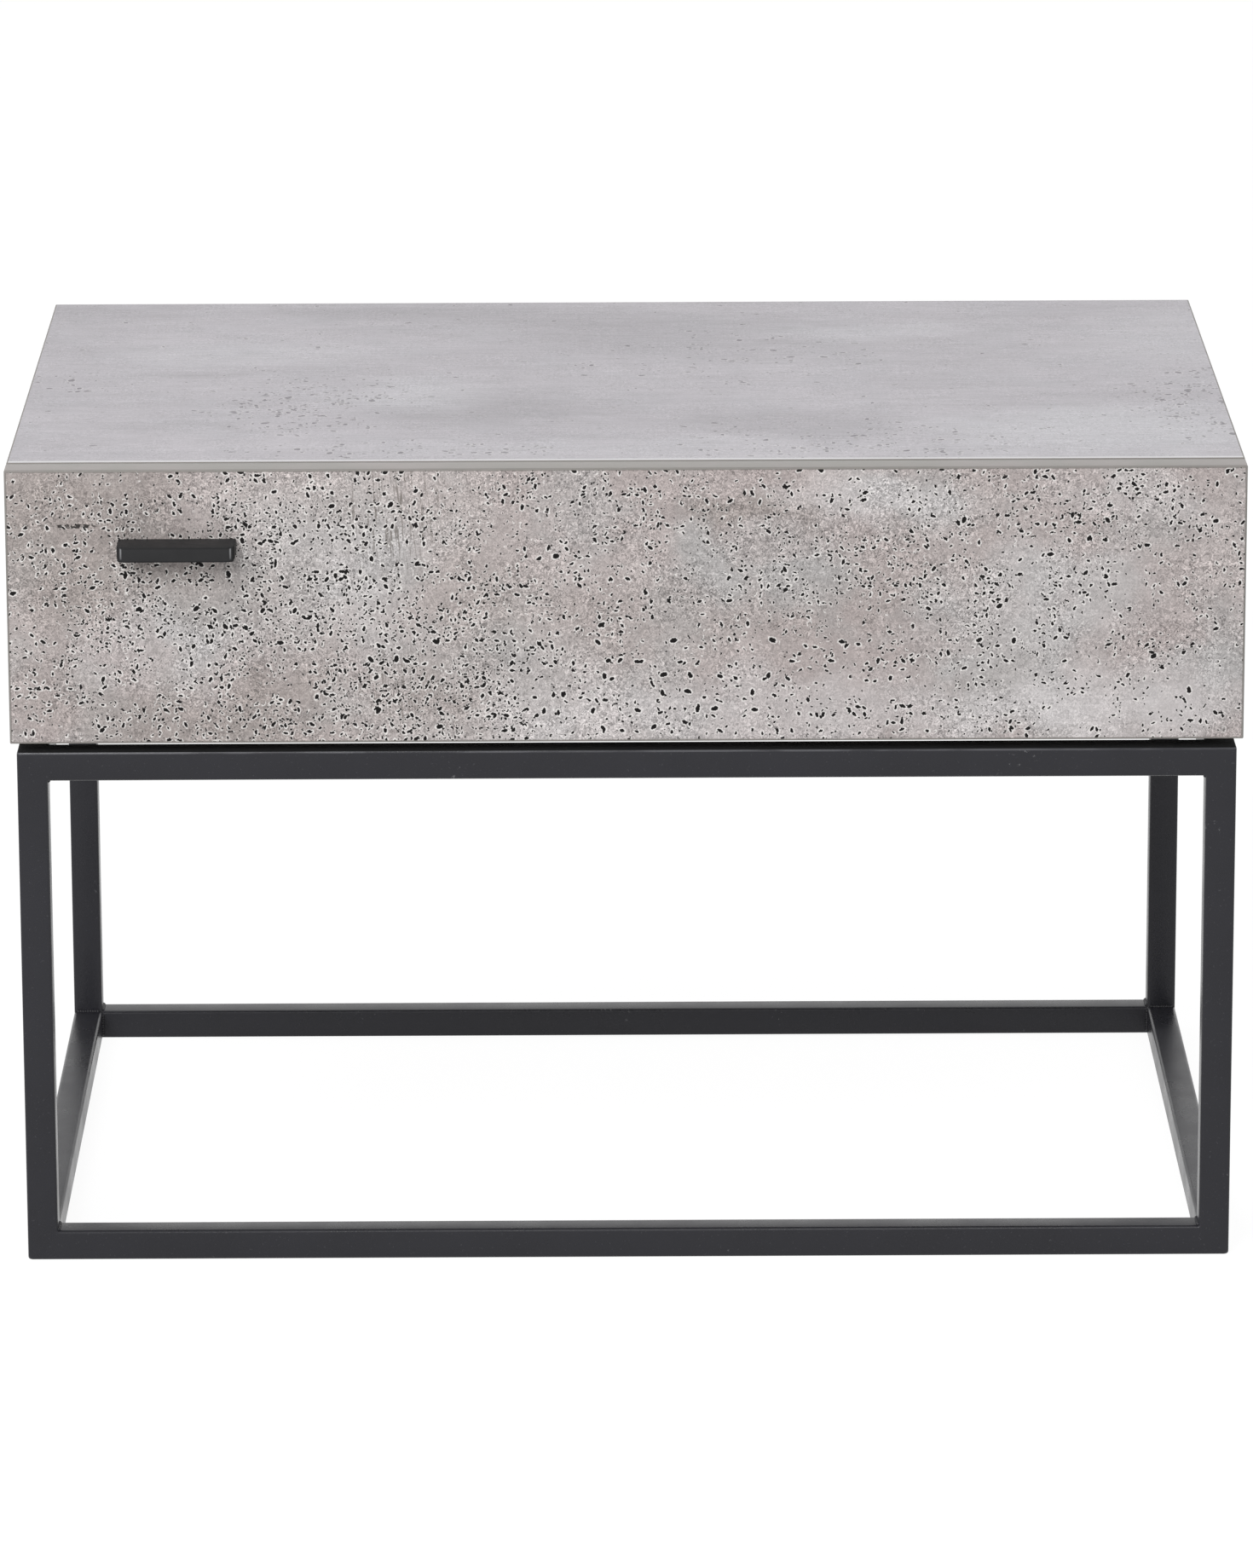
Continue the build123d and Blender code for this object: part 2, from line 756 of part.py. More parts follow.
drawer_bolt_points = [
    (side * drawer_joint_x, front_back_y, drawer_bolt_z) for side in (-1, 1)
]
drawer_dowel_points = [
    (side * drawer_joint_x, front_back_y, z) for side in (-1, 1) for z in drawer_dowel_zs
]
handle_screw_points = [(x, front_back_y, handle_middle_z) for x in handle_screw_xs]
handle_seat_points = [(x, front_y, handle_middle_z) for x in handle_screw_xs]
drawer_screw_length = drawer_board + drawer_screw_bite
groove_zs = (sheet_bottom, sheet_bottom + drawer_sheet + groove_play)
groove_x = drawer_inner_x + groove_depth

with BuildPart() as drawer_front:
    block(
        (-core_x, core_x),
        (front_y, front_back_y),
        (box_bottom + edging, table_height - edging),
    )
    block(
        (-groove_x, groove_x),
        (front_back_y - groove_depth, front_back_y),
        groove_zs,
        Mode.SUBTRACT,
    )
    drill(drawer_bolt_points, REARWARD, cam_thread_radius, cam_thread_length)
    drill(
        drawer_dowel_points,
        REARWARD,
        drawer_dowel_radius,
        drawer_dowel_short_end + dowel_end_play,
    )
    drill(
        handle_screw_points,
        REARWARD,
        handle_screw_radius + handle_screw_play,
        front_thickness,
    )
save(drawer_front, "drawer_front")

with BuildPart() as drawer_front_edging:
    front_ys = (front_y, front_back_y)
    end_zs = (box_bottom + edging + edging_seam, table_height - edging - edging_seam)
    add(edge_strip(full_xs, front_ys, (table_height - edging, table_height), (0, 0, 1)))
    add(edge_strip(full_xs, front_ys, (box_bottom, box_bottom + edging), (0, 0, -1)))
    add(edge_strip((-half_width, -core_x), front_ys, end_zs, (-1, 0, 0)))
    add(edge_strip((core_x, half_width), front_ys, end_zs, (1, 0, 0)))
save(drawer_front_edging, "drawer_front_edging")

for side_name, side in SIDES:
    inward = Vector(-side, 0, 0)
    outward = Vector(side, 0, 0)
    with BuildPart() as drawer_side:
        block(
            (side * drawer_inner_x, side * drawer_x),
            (front_back_y, drawer_rear),
            (drawer_bottom, drawer_top),
        )
        block(
            (side * drawer_inner_x, side * groove_x),
            (front_back_y, drawer_rear),
            groove_zs,
            Mode.SUBTRACT,
        )
        drill(
            [(side * drawer_inner_x, drawer_cam_y, drawer_bolt_z)],
            inward,
            drawer_cam_radius,
            drawer_cam_depth,
        )
        drill(
            [point for point in drawer_bolt_points if point[0] * side > 0],
            FORWARD,
            drawer_bolt_radius + cam_play,
            cam_setback,
        )
        drill(
            [point for point in drawer_dowel_points if point[0] * side > 0],
            FORWARD,
            drawer_dowel_radius,
            drawer_dowel_long_end + dowel_end_play,
        )
        flat_head_screws(
            [(side * drawer_x, drawer_rear - drawer_board / 2, z) for z in drawer_screw_zs],
            outward,
            drawer_screw_head,
            drawer_screw_head_height,
            drawer_screw_radius,
            drawer_board,
            Mode.SUBTRACT,
        )
        drill(
            [(x, y, drawer_bottom) for x, y, _ in drawer_screw_points[side]],
            DOWN,
            runner_screw_radius,
            drawer_runner_screw_bite,
        )
    save(drawer_side, f"drawer_{side_name}_side")

with BuildPart() as drawer_back:
    block(
        (-drawer_inner_x, drawer_inner_x),
        (drawer_back_y, drawer_rear),
        (drawer_bottom, drawer_top),
    )
    block(
        (-drawer_inner_x, drawer_inner_x),
        (drawer_back_y, drawer_back_y + groove_depth),
        groove_zs,
        Mode.SUBTRACT,
    )
    for side in (-1, 1):
        drill(
            [
                (side * drawer_inner_x, drawer_rear - drawer_board / 2, z)
                for z in drawer_screw_zs
            ],
            Vector(side, 0, 0),
            drawer_screw_radius,
            drawer_screw_bite,
        )
save(drawer_back, "drawer_back")

with BuildPart() as drawer_bottom_sheet:
    sheet_reach = groove_depth - groove_end_play
    block(
        (-sheet_x, sheet_x),
        (front_back_y - sheet_reach, drawer_back_y + sheet_reach),
        (sheet_bottom, sheet_bottom + drawer_sheet),
    )
save(drawer_bottom_sheet, "drawer_bottom")

with BuildPart() as drawer_cams:
    drawer_cam_frames = [
        Plane(
            origin=(side * drawer_inner_x, drawer_cam_y, drawer_bolt_z),
            x_dir=FORWARD,
            z_dir=(-side, 0, 0),
        )
        for side in (-1, 1)
    ]
    cams(
        drawer_cam_frames,
        drawer_cam_radius,
        drawer_cam_depth,
        drawer_board / 2,
        drawer_bolt_radius + cam_play,
    )
save(drawer_cams, "drawer_cams")

with BuildPart() as drawer_cam_bolts:
    cam_bolts(
        drawer_bolt_points,
        REARWARD,
        cam_thread_radius,
        cam_thread_length,
        drawer_bolt_radius,
        drawer_bolt_neck,
        cam_setback - drawer_bolt_radius,
    )
save(drawer_cam_bolts, "drawer_cam_bolts")

with BuildPart() as drawer_dowels:
    rods(
        drawer_dowel_points,
        REARWARD,
        drawer_dowel_radius,
        -drawer_dowel_short_end,
        drawer_dowel_long_end,
    )
save(drawer_dowels, "drawer_dowels")

with BuildPart() as drawer_screws:
    for side in (-1, 1):
        points = [(side * drawer_x, drawer_rear - drawer_board / 2, z) for z in drawer_screw_zs]
        flat_head_screws(
            points,
            Vector(side, 0, 0),
            drawer_screw_head,
            drawer_screw_head_height,
            drawer_screw_radius,
            drawer_screw_length,
        )
save(drawer_screws, "drawer_screws")

with BuildPart() as drawer_bumpers:
    bumper_points = [
        (side * (half_width - bumper_inset), front_back_y, z)
        for side in (-1, 1)
        for z in (box_bottom + board / 2, table_height - board / 2)
    ]
    rods(bumper_points, REARWARD, bumper_radius, 0, front_gap - bumper_play)
save(drawer_bumpers, "drawer_bumpers")

# ---------------------------------------------------------------------------------------------
# Handle: a cast bar pull, hollow from below, with two threaded bosses against the front
# ---------------------------------------------------------------------------------------------

with BuildPart() as handle:
    with BuildSketch(Plane.XY.offset(handle_bottom)):
        with Locations((handle_x, (handle_tip + front_y) / 2)):
            outline = Rectangle(handle_length, handle_projection)
        fillet(outline.vertices().group_by(Axis.Y)[0], radius=handle_corner)
    extrude(amount=handle_height)
    low_ends = handle.edges().filter_by(Axis.Y).group_by(Axis.Z)[0]
    fillet(low_ends, radius=handle_end_round)
    top_rim = handle.faces().sort_by(Axis.Z)[-1].edges().sort_by(Axis.Y)[:-1]
    fillet(top_rim, radius=handle_edge_round)
    with BuildSketch(Plane.XY.offset(handle_bottom)):
        with Locations((handle_x, (handle_tip + handle_wall + front_y) / 2)):
            cavity = Rectangle(
                handle_length - 2 * handle_wall,
                handle_projection - handle_wall,
            )
        fillet(cavity.vertices().group_by(Axis.Y)[0], radius=handle_corner - handle_wall)
        with Locations(*[(x, front_y - handle_boss_depth / 2) for x in handle_screw_xs]):
            Rectangle(handle_boss_width, handle_boss_depth, mode=Mode.SUBTRACT)
    extrude(amount=handle_height - handle_ceiling, mode=Mode.SUBTRACT)
    drill(
        handle_seat_points,
        REARWARD,
        handle_screw_radius,
        handle_screw_bite + handle_screw_end_play,
    )
save(handle, "handle")

with BuildPart() as handle_screws:
    screw_reach = front_thickness + handle_screw_bite
    rods(handle_screw_points, REARWARD, handle_screw_radius, -screw_reach, 0)
    rods(handle_screw_points, REARWARD, handle_screw_head_radius, 0, handle_screw_head_height)
save(handle_screws, "handle_screws")
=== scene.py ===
import math

import bpy
from mathutils import Matrix, Vector


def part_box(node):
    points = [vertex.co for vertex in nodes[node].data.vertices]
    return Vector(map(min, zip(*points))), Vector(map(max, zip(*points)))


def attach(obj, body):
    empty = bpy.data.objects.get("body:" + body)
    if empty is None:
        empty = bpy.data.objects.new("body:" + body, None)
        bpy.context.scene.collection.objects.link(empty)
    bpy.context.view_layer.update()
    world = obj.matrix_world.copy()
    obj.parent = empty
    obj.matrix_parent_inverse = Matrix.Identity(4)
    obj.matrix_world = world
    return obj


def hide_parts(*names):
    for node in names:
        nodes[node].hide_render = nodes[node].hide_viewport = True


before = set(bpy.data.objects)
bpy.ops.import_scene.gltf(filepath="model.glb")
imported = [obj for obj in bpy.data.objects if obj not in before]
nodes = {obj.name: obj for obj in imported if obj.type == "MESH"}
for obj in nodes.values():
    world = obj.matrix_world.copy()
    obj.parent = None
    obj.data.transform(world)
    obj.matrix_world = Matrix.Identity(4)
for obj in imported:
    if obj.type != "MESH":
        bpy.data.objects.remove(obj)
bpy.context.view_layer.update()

# ---- Finish helpers ----


def shade(red, green, blue):
    """A screen colour, 0 to 255, as the linear colour that a shader takes."""
    def channel(value):
        value = value / 255
        return value / 12.92 if value <= 0.04045 else ((value + 0.055) / 1.055) ** 2.4

    return (channel(red), channel(green), channel(blue), 1.0)


class Bench:
    """What is being finished: each new shader node goes into its tree."""
    tree = None


def lay_out(owner):
    """Put a material or a world on the bench."""
    owner.use_nodes = True
    Bench.tree = owner.node_tree
    return owner


def step(kind, inputs=None, **settings):
    """One shader node, its settings made and its inputs set or linked."""
    made = Bench.tree.nodes.new("ShaderNode" + kind)
    for name, value in settings.items():
        setattr(made, name, value)
    for socket, value in (inputs or {}).items():
        if isinstance(value, bpy.types.NodeSocket):
            Bench.tree.links.new(value, made.inputs[socket])
        else:
            made.inputs[socket].default_value = value
    return made


def sum_up(how, first, second=0.0, clamp=False):
    """One sum on two values."""
    return step("Math", {0: first, 1: second}, operation=how, use_clamp=clamp).outputs[0]


def times(first, second):
    """One value times another."""
    return sum_up("MULTIPLY", first, second)


def plus(first, second, clamp=False):
    """Two values together, held at 1 when clamped."""
    return sum_up("ADD", first, second, clamp)


def less(first, second, clamp=False):
    """One value less another, held at 0 when clamped."""
    return sum_up("SUBTRACT", first, second, clamp)


def joined(values):
    """The greatest of several masks."""
    total = values[0]
    for value in values[1:]:
        total = sum_up("MAXIMUM", total, value)
    return total


def spread(value, low, high, start=0.0, end=1.0, smooth=True):
    """Stretch a value from low..high to start..end, held at the ends."""
    how = "SMOOTHSTEP" if smooth else "LINEAR"
    sockets = {"Value": value, "From Min": low, "From Max": high, "To Min": start, "To Max": end}
    return step("MapRange", sockets, interpolation_type=how).outputs["Result"]


def mix(amount, under, over, how="MIX"):
    """Lay one colour over another."""
    sockets = {0: amount, 6: under, 7: over}
    return step("Mix", sockets, data_type="RGBA", blend_type=how).outputs[2]


def toned(colour, value, depth):
    """A colour made lighter and darker by a noise value."""
    grey = spread(value, 0.3, 0.7, 1 - depth, 1 + depth * 0.85, smooth=False)
    return mix(1.0, colour, grey, "MULTIPLY")


def darker(colour, mask, depth):
    """A colour made darker, or lighter with a negative depth, where a mask says."""
    grey = spread(mask, 0, 1, 1, 1 - depth, smooth=False)
    return mix(1.0, colour, grey, "MULTIPLY")


def noise(place, scale, detail=2.0, rough=0.5, how="3D", curl=0.0):
    """Cloudy noise, 0 to 1, with its scale in cycles per metre."""
    sockets = {
        "Vector": place, "Scale": scale, "Detail": detail, "Roughness": rough, "Distortion": curl,
    }
    return step("TexNoise", sockets, noise_dimensions=how).outputs["Fac"]


def flat_noise(place, scale, detail=2.0, rough=0.5, curl=0.0):
    """Cloudy noise over a flat place."""
    return noise(place, scale, detail, rough, "2D", curl)


def squeeze(place, size, turn=0.0, shift=(0.0, 0.0, 0.0)):
    """Place turned and stretched about a point, so that a round pattern becomes a long one."""
    sockets = {"Vector": place, "Location": shift, "Rotation": (0, 0, turn), "Scale": size}
    return step("Mapping", sockets, vector_type="TEXTURE").outputs[0]


def vector_sum(how, first, second):
    """One sum on two vectors."""
    return step("VectorMath", {0: first, 1: second}, operation=how).outputs[0]


def moved(place, change):
    """A place moved by a vector."""
    return vector_sum("ADD", place, change)


def finish(name, roughness=0.5, metallic=0.0, specular=0.5):
    """A new material on the bench, and the place on its object."""
    material = lay_out(bpy.data.materials.new(name))
    sockets = Bench.tree.nodes["Principled BSDF"].inputs
    sockets["Roughness"].default_value = roughness
    sockets["Metallic"].default_value = metallic
    sockets["Specular IOR Level"].default_value = specular
    return material, step("TexCoord").outputs["Object"]


def coated(material, colour, dull, height, depth, strength=1.0):
    """A material given its colour and roughness, and small relief with its depth in metres."""
    bump = step("Bump", {"Height": height, "Distance": depth, "Strength": strength}).outputs[0]
    sockets = Bench.tree.nodes["Principled BSDF"].inputs
    for value, name in ((colour, "Base Color"), (dull, "Roughness"), (bump, "Normal")):
        Bench.tree.links.new(value, sockets[name])
    return material


def axes_of(place):
    """The X, Y and Z of a place."""
    return step("SeparateXYZ", {0: place}).outputs


def dress(names, material):
    """Give CAD nodes a material."""
    for name in names:
        data = nodes[name].data
        data.materials.clear()
        data.materials.append(material)


# ---- Concrete decor ----

# Patches on a face, in millimetres: the middle, the two reaches and the strength
FRONT_DARK = [
    (-272, 372, 85, 60, 0.7), (-215, 340, 70, 30, 0.35), (-205, 276, 110, 34, 0.6),
    (-170, 292, 40, 30, 0.2), (-75, 330, 50, 60, 0.3), (-120, 384, 60, 20, 0.25),
    (62, 376, 45, 14, 0.7), (30, 325, 150, 30, 0.25), (125, 345, 50, 30, 0.15),
    (190, 305, 30, 45, 0.25), (-290, 300, 35, 40, 0.25), (-100, 283, 36, 22, 0.45),
]
FRONT_PALE = [
    (-130, 374, 70, 30, 0.2), (-125, 330, 35, 50, 0.25), (115, 385, 60, 24, 0.7),
    (200, 335, 70, 40, 0.35), (60, 278, 260, 22, 0.5), (240, 283, 90, 35, 0.6),
    (-225, 305, 60, 20, 0.3), (250, 388, 70, 20, 0.4),
]
FRONT_COOL = [
    (-150, 350, 60, 70, 0.7), (-215, 318, 50, 28, 0.45), (-50, 300, 60, 30, 0.5),
    (70, 352, 50, 30, 0.5), (190, 310, 60, 60, 0.7), (130, 385, 50, 20, 0.55),
    (285, 290, 40, 40, 0.5),
]
FRONT_SMALL_PORES = [
    (-180, 345, 190, 100, 0.8), (-105, 300, 110, 60, 0.75), (-220, 290, 140, 60, 0.35),
    (-20, 385, 110, 30, 0.45), (165, 345, 100, 70, 0.4), (260, 385, 70, 35, 0.7),
    (60, 345, 110, 50, 0.25), (-168, 364, 50, 45, 0.6), (-103, 284, 60, 45, 1.8),
]
FRONT_LARGE_PORES = [
    (-190, 345, 100, 70, 0.5), (-105, 285, 80, 40, 1.0), (-40, 290, 80, 60, 0.6),
    (60, 285, 130, 40, 0.8), (10, 330, 90, 50, 0.35), (180, 350, 80, 60, 0.45),
    (270, 385, 60, 30, 0.6), (-140, 375, 80, 40, 0.6), (-103, 282, 50, 35, 1.6),
]
FRONT_SMOOTH = [
    (-112, 318, 35, 20, 0.6), (110, 300, 110, 30, 0.5), (245, 283, 90, 30, 0.6),
    (235, 345, 30, 30, 0.4),
]
FRONT_STROKES = [(-113, 378, 36, 40, 1.0), (-112, 290, 30, 34, 0.7)]
FRONT_CRACK = [(-266.4, 372.5, 15.5, 1.6, 1.0)]
TOP_DARK = [
    (-215, 28, 60, 14, 0.2), (-225, -92, 75, 14, 0.22), (-60, -60, 85, 70, 0.4),
    (85, -95, 75, 50, 0.35), (30, 125, 120, 80, 0.28), (-90, 180, 140, 50, 0.35),
    (140, 80, 100, 50, 0.15), (-280, 190, 80, 35, 0.25),
]
TOP_PALE = [
    (-190, 80, 90, 50, 0.3), (240, -110, 120, 90, 0.65), (130, 130, 80, 40, 0.35),
    (-110, -20, 60, 60, 0.4), (10, -150, 200, 35, 0.25), (285, 110, 60, 120, 0.3),
]
TOP_PORES = [
    (-155, -40, 70, 90, 0.75), (-285, 10, 35, 35, 0.6), (280, -50, 35, 110, 0.85),
    (120, -130, 130, 55, 0.45), (-110, -150, 110, 30, 0.5), (50, 60, 120, 80, 0.18),
]

# Two ground tones, the cool patches, the dark patches and the pale ones
WARM_TONES = (
    shade(172, 162, 160), shade(184, 176, 174), shade(175, 172, 171), shade(152, 144, 140),
    shade(203, 199, 199),
)
COOL_TONES = (
    shade(181, 177, 182), shade(189, 185, 190), shade(183, 180, 185), shade(150, 147, 151),
    shade(203, 202, 206),
)
PIT_TONE = shade(16, 14, 14)
RIM_TONE = shade(234, 231, 228)
STROKE_TONE = shade(104, 98, 92)

# Lines along a face's borders, painted shade where dark and painted highlight where pale: width,
# strength, tone and the borders that have one
# Painted shade: a dark line just inside every border of a face
PAINTED_SHADE_BORDER = (0.0005, 0.55, shade(96, 92, 88), ("left", "right", "low", "high"))
# Painted highlight: a pale line along the front edge of the top
PAINTED_HIGHLIGHT_FRONT_BORDER = (0.0045, 0.8, shade(228, 227, 228), ("low",))

# Pores: cell, radius, length, share and strength of the rims
FINE_PORES = (0.0023, 0.00033, 1.7, 0.66, 0.5)
MIDDLE_PORES = (0.0038, 0.00050, 1.9, 1.45, 1.0)
WIDE_PORES = (0.0085, 0.00068, 1.6, 0.95, 1.0)
PIT_EDGE = 0.00012
RIM_REACH = 0.00055


def patches(place, spots):
    """Soft-edged patches from a list of spots."""
    total = 0.0
    for *spot, strength in spots:
        across, up, reach_across, reach_up = [size / 1000 for size in spot]
        near = squeeze(place, (reach_across, reach_up, 1), shift=(across, up, 0))
        ball = step("TexGradient", {"Vector": near}, gradient_type="SPHERICAL").outputs["Fac"]
        sockets = {0: spread(ball, 0.0, 0.75), 1: strength, 2: total}
        total = step("Math", sockets, operation="MULTIPLY_ADD").outputs[0]
    return total


def sway(place, scale, reach, detail=2.0):
    """A small random shift of the place, up to about half the reach each way."""
    sockets = {"Vector": place, "Scale": scale, "Detail": detail}
    random = step("TexNoise", sockets, noise_dimensions="2D").outputs["Color"]
    centred = moved(random, (-0.5, -0.5, -0.5))
    return step("VectorMath", {0: centred, "Scale": reach}, operation="SCALE").outputs[0]


def worms(place, scale, width):
    """Thin curling lines, where a noise passes through its middle value."""
    curled = moved(place, sway(place, scale * 0.7, 0.7 / scale))
    gap = sum_up("ABSOLUTE", less(flat_noise(curled, scale, 1), 0.5))
    return spread(gap, 0.0, width, 1, 0)


def border_line(flat, box, width, edges):
    """A line just inside some borders of a flat face: box is left, right, low and high."""
    across, up, _ = axes_of(flat)
    sides = {"left": (across, 1), "right": (across, -1), "low": (up, 1), "high": (up, -1)}
    nearest = 1.0
    for edge, (side, (place, way)) in zip(box, sides.items()):
        if side in edges:
            gap = times(less(place, edge), way)
            nearest = sum_up("MINIMUM", nearest, gap)
    return spread(nearest, width * 0.4, width, 1, 0)


def pores(place, cell, radius, length, share, density):
    """Pits of random size and turn, one at most to a cell, and pale rims round the larger ones."""
    cells = step("TexVoronoi", {"Vector": place, "Scale": 1 / cell}, voronoi_dimensions="2D")
    chance = step("SeparateColor", {0: cells.outputs["Color"]}).outputs
    away = vector_sum("SUBTRACT", place, cells.outputs["Position"])
    sockets = {"Vector": away, "Angle": times(chance[2], math.tau)}
    away = step("VectorRotate", sockets, rotation_type="Z_AXIS").outputs[0]
    away = vector_sum("MULTIPLY", away, (1 / length, 1, 0))
    reach = step("VectorMath", {0: away}, operation="LENGTH").outputs["Value"]
    lean = sum_up("POWER", chance[1], 2.0)
    size = spread(lean, 0, 1, radius * 0.55, radius * 1.7, smooth=False)
    there = spread(less(times(density, share), chance[0]), 0.0, 0.02)
    beyond = less(reach, size)
    pit = times(spread(beyond, -PIT_EDGE, PIT_EDGE, 1, 0), there)
    near = spread(beyond, PIT_EDGE, RIM_REACH + radius * 0.3, 1, 0)
    rim = times(less(near, pit, True), there)
    return pit, times(rim, spread(lean, 0.02, 0.35, 0.1, 1))


def concrete(
    name, face, node, tones, dark=(), pale=(), cool=(), small=(), large=(), smooth=(), strokes=(),
    crack=(), seed=0.0, grain_depth=1.0, pore_share=1.0, pore_floor=(0.42, 0.18), pore_size=1.0,
    pit_strength=1.0, streaks=1.0, border=PAINTED_SHADE_BORDER,
):
    """Cast-concrete decor on a node's flat face: soft clouds, streaks, curling grain and pores."""
    material, solid_place = finish(name, roughness=0.42, specular=0.2)
    axes = axes_of(solid_place)
    flat = step("CombineXYZ", {"X": axes[face[0]], "Y": axes[face[1]]}).outputs[0]
    place = moved(flat, (seed, seed * 0.7, 0))
    cloudy = moved(flat, sway(place, 16, 0.06, 3))
    calm = less(1.0, patches(cloudy, smooth), True)
    calm = times(calm, spread(flat_noise(place, 34, 3), 0.38, 0.60, 0.5, 1))

    # Clouds, from broad to fine
    broad = flat_noise(squeeze(place, (1.3, 1, 1)), 9, 5, 0.6)
    base = mix(spread(broad, 0.3, 0.7), tones[0], tones[1])
    cooler = spread(flat_noise(place, 22, 4), 0.45, 0.65, 0, 0.6)
    cooler = plus(patches(cloudy, cool), cooler, True)
    base = mix(cooler, base, tones[2])
    base = mix(patches(cloudy, dark), base, tones[3])
    base = mix(patches(cloudy, pale), base, tones[4])

    # Mottling, streaks and grain
    base = toned(base, flat_noise(place, 75, 6, 0.7), 0.12 * grain_depth)
    long_streak = flat_noise(squeeze(place, (9, 1, 1), turn=0.03), 60, 4, 0.6)
    base = toned(base, long_streak, 0.035 * streaks)
    brushed = flat_noise(squeeze(place, (14, 1, 1), turn=-0.04), 480, 3, 0.6)
    base = toned(base, brushed, 0.05 * streaks)
    grain = flat_noise(place, 600, 1.5, 0.6, curl=1.4)
    calm_grain = step("Mix", {0: calm, 2: 0.5, 3: grain}, data_type="FLOAT").outputs[0]
    base = toned(base, calm_grain, 0.50 * grain_depth)
    broken = times(spread(flat_noise(place, 150, 2), 0.35, 0.6), calm)
    dark_worm = times(worms(place, 440, 0.12), broken)
    base = darker(base, dark_worm, 0.36 * grain_depth)
    pale_place = moved(place, (0.37, 0.19, 0))
    pale_worm = times(worms(pale_place, 480, 0.10), calm)
    base = darker(base, pale_worm, -0.24 * grain_depth)

    # Brush strokes and cracks
    upright = flat_noise(squeeze(place, (1, 16, 1), turn=0.06), 800, 2)
    stroke = times(spread(upright, 0.565, 0.62), patches(flat, strokes))
    base = mix(times(stroke, 0.7), base, STROKE_TONE)
    dashes = spread(flat_noise(place, 470, 2), 0.38, 0.53, 0, 0.9)
    split = times(dashes, spread(patches(flat, crack), 0.2, 0.6))

    # Pores
    rough_place = moved(place, sway(place, 900, 0.0009, 1))
    cluster = spread(flat_noise(place, 60, 3, 0.6), 0.36, 0.66)
    many = times(plus(patches(cloudy, small), pore_floor[0]), cluster)
    few = plus(patches(cloudy, large), pore_floor[1])
    pits, rims = [], []
    for kind, density in ((FINE_PORES, many), (MIDDLE_PORES, many), (WIDE_PORES, few)):
        cell, radius, length, share, rim_strength = kind
        sizes = (cell, radius * pore_size, length, share * pore_share)
        pit, rim = pores(rough_place, *sizes, density)
        pits.append(pit)
        rims.append(times(rim, rim_strength))
    pit = joined(pits + [split])
    base = mix(times(joined(rims), 0.85 * pit_strength), base, RIM_TONE)
    colour = mix(times(pit, pit_strength), base, PIT_TONE)
    # Painted shade or painted highlight along the face's borders
    width, strength, tone, edges = border
    line = border_line(flat, face_border(node, face), width, edges)
    colour = mix(times(line, strength), colour, tone)
    height = less(times(grain, 0.12), pit)
    return coated(material, colour, spread(pit, 0, 1, 0.42, 0.8), height, 0.00012, 0.6)


def face_border(node, face):
    """Left, right, low and high limits of a node's face."""
    low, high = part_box(node)
    across, up = ["XYZ".index(letter) for letter in face]
    return (low[across], high[across], low[up], high[up])


dress(["drawer_front"], concrete(
    "front_concrete", "XZ", "drawer_front", WARM_TONES, FRONT_DARK, FRONT_PALE, FRONT_COOL,
    FRONT_SMALL_PORES, FRONT_LARGE_PORES, FRONT_SMOOTH, FRONT_STROKES, FRONT_CRACK,
))
dress(["top_panel"], concrete(
    "top_concrete", "XY", "top_panel", COOL_TONES, TOP_DARK, TOP_PALE,
    small=TOP_PORES, large=TOP_PORES, seed=3.0, grain_depth=0.34, pore_share=0.42,
    pore_floor=(0.08, 0.03), pore_size=1.5, pit_strength=0.37, streaks=1.3,
    border=PAINTED_HIGHLIGHT_FRONT_BORDER,
))
dress(["bottom_panel"], concrete(
    "underside_concrete", "XY", "bottom_panel", WARM_TONES, seed=11.0, grain_depth=0.6,
))
dress(["left_side_panel", "right_side_panel"], concrete(
    "side_concrete", "YZ", "left_side_panel", WARM_TONES, FRONT_DARK, FRONT_PALE, FRONT_COOL,
    FRONT_SMALL_PORES, FRONT_LARGE_PORES, seed=5.0,
))
dress(["back_panel"], concrete(
    "back_concrete", "XZ", "back_panel", WARM_TONES, seed=8.0, grain_depth=0.7,
    pore_floor=(0.6, 0.35),
))

# ---- Other finishes ----


def edging_band(name, node, across):
    """Edging strip: fine streaks along it, and painted shade in dark lines at its long edges."""
    material, place = finish(name, roughness=0.45, specular=0.3)
    low, high = [corner["XYZ".index(across)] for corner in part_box(node)]
    long_way = Vector((12, 12, 12))
    long_way["XYZ".index(across)] = 1
    streak = noise(squeeze(place, long_way), 700, 3, 0.6)
    cloud = spread(noise(place, 26, 3, 0.6), 0.3, 0.7)
    colour = mix(cloud, shade(153, 150, 146), shade(162, 156, 154))
    colour = toned(colour, streak, 0.08)
    # Painted shade: a dark line along each long edge of the strip, wandering a little
    height = axes_of(place)[across]
    nearest = sum_up("MINIMUM", less(height, low), less(high, height))
    wander = times(noise(place, 90), 0.0012)
    line = spread(less(nearest, wander), 0.0002, 0.0016, 0.45, 0)
    colour = mix(line, colour, shade(92, 90, 84))
    return coated(material, colour, spread(streak, 0.3, 0.7, 0.4, 0.52), streak, 0.00004, 0.6)


def plain_paint(name, colour, roughness, peel=900, depth=0.00003, change=0.06):
    """A coat of one colour with slight unevenness of tone, gloss and surface."""
    material, place = finish(name, roughness)
    patchy = noise(place, 18, 4, 0.6)
    grey = spread(patchy, 0.3, 0.7, 1 - change, 1 + change, smooth=False)
    tone = mix(1.0, colour, grey, "MULTIPLY")
    dull = spread(patchy, 0.3, 0.7, roughness - 0.05, roughness + 0.05)
    return coated(material, tone, dull, noise(place, peel), depth)


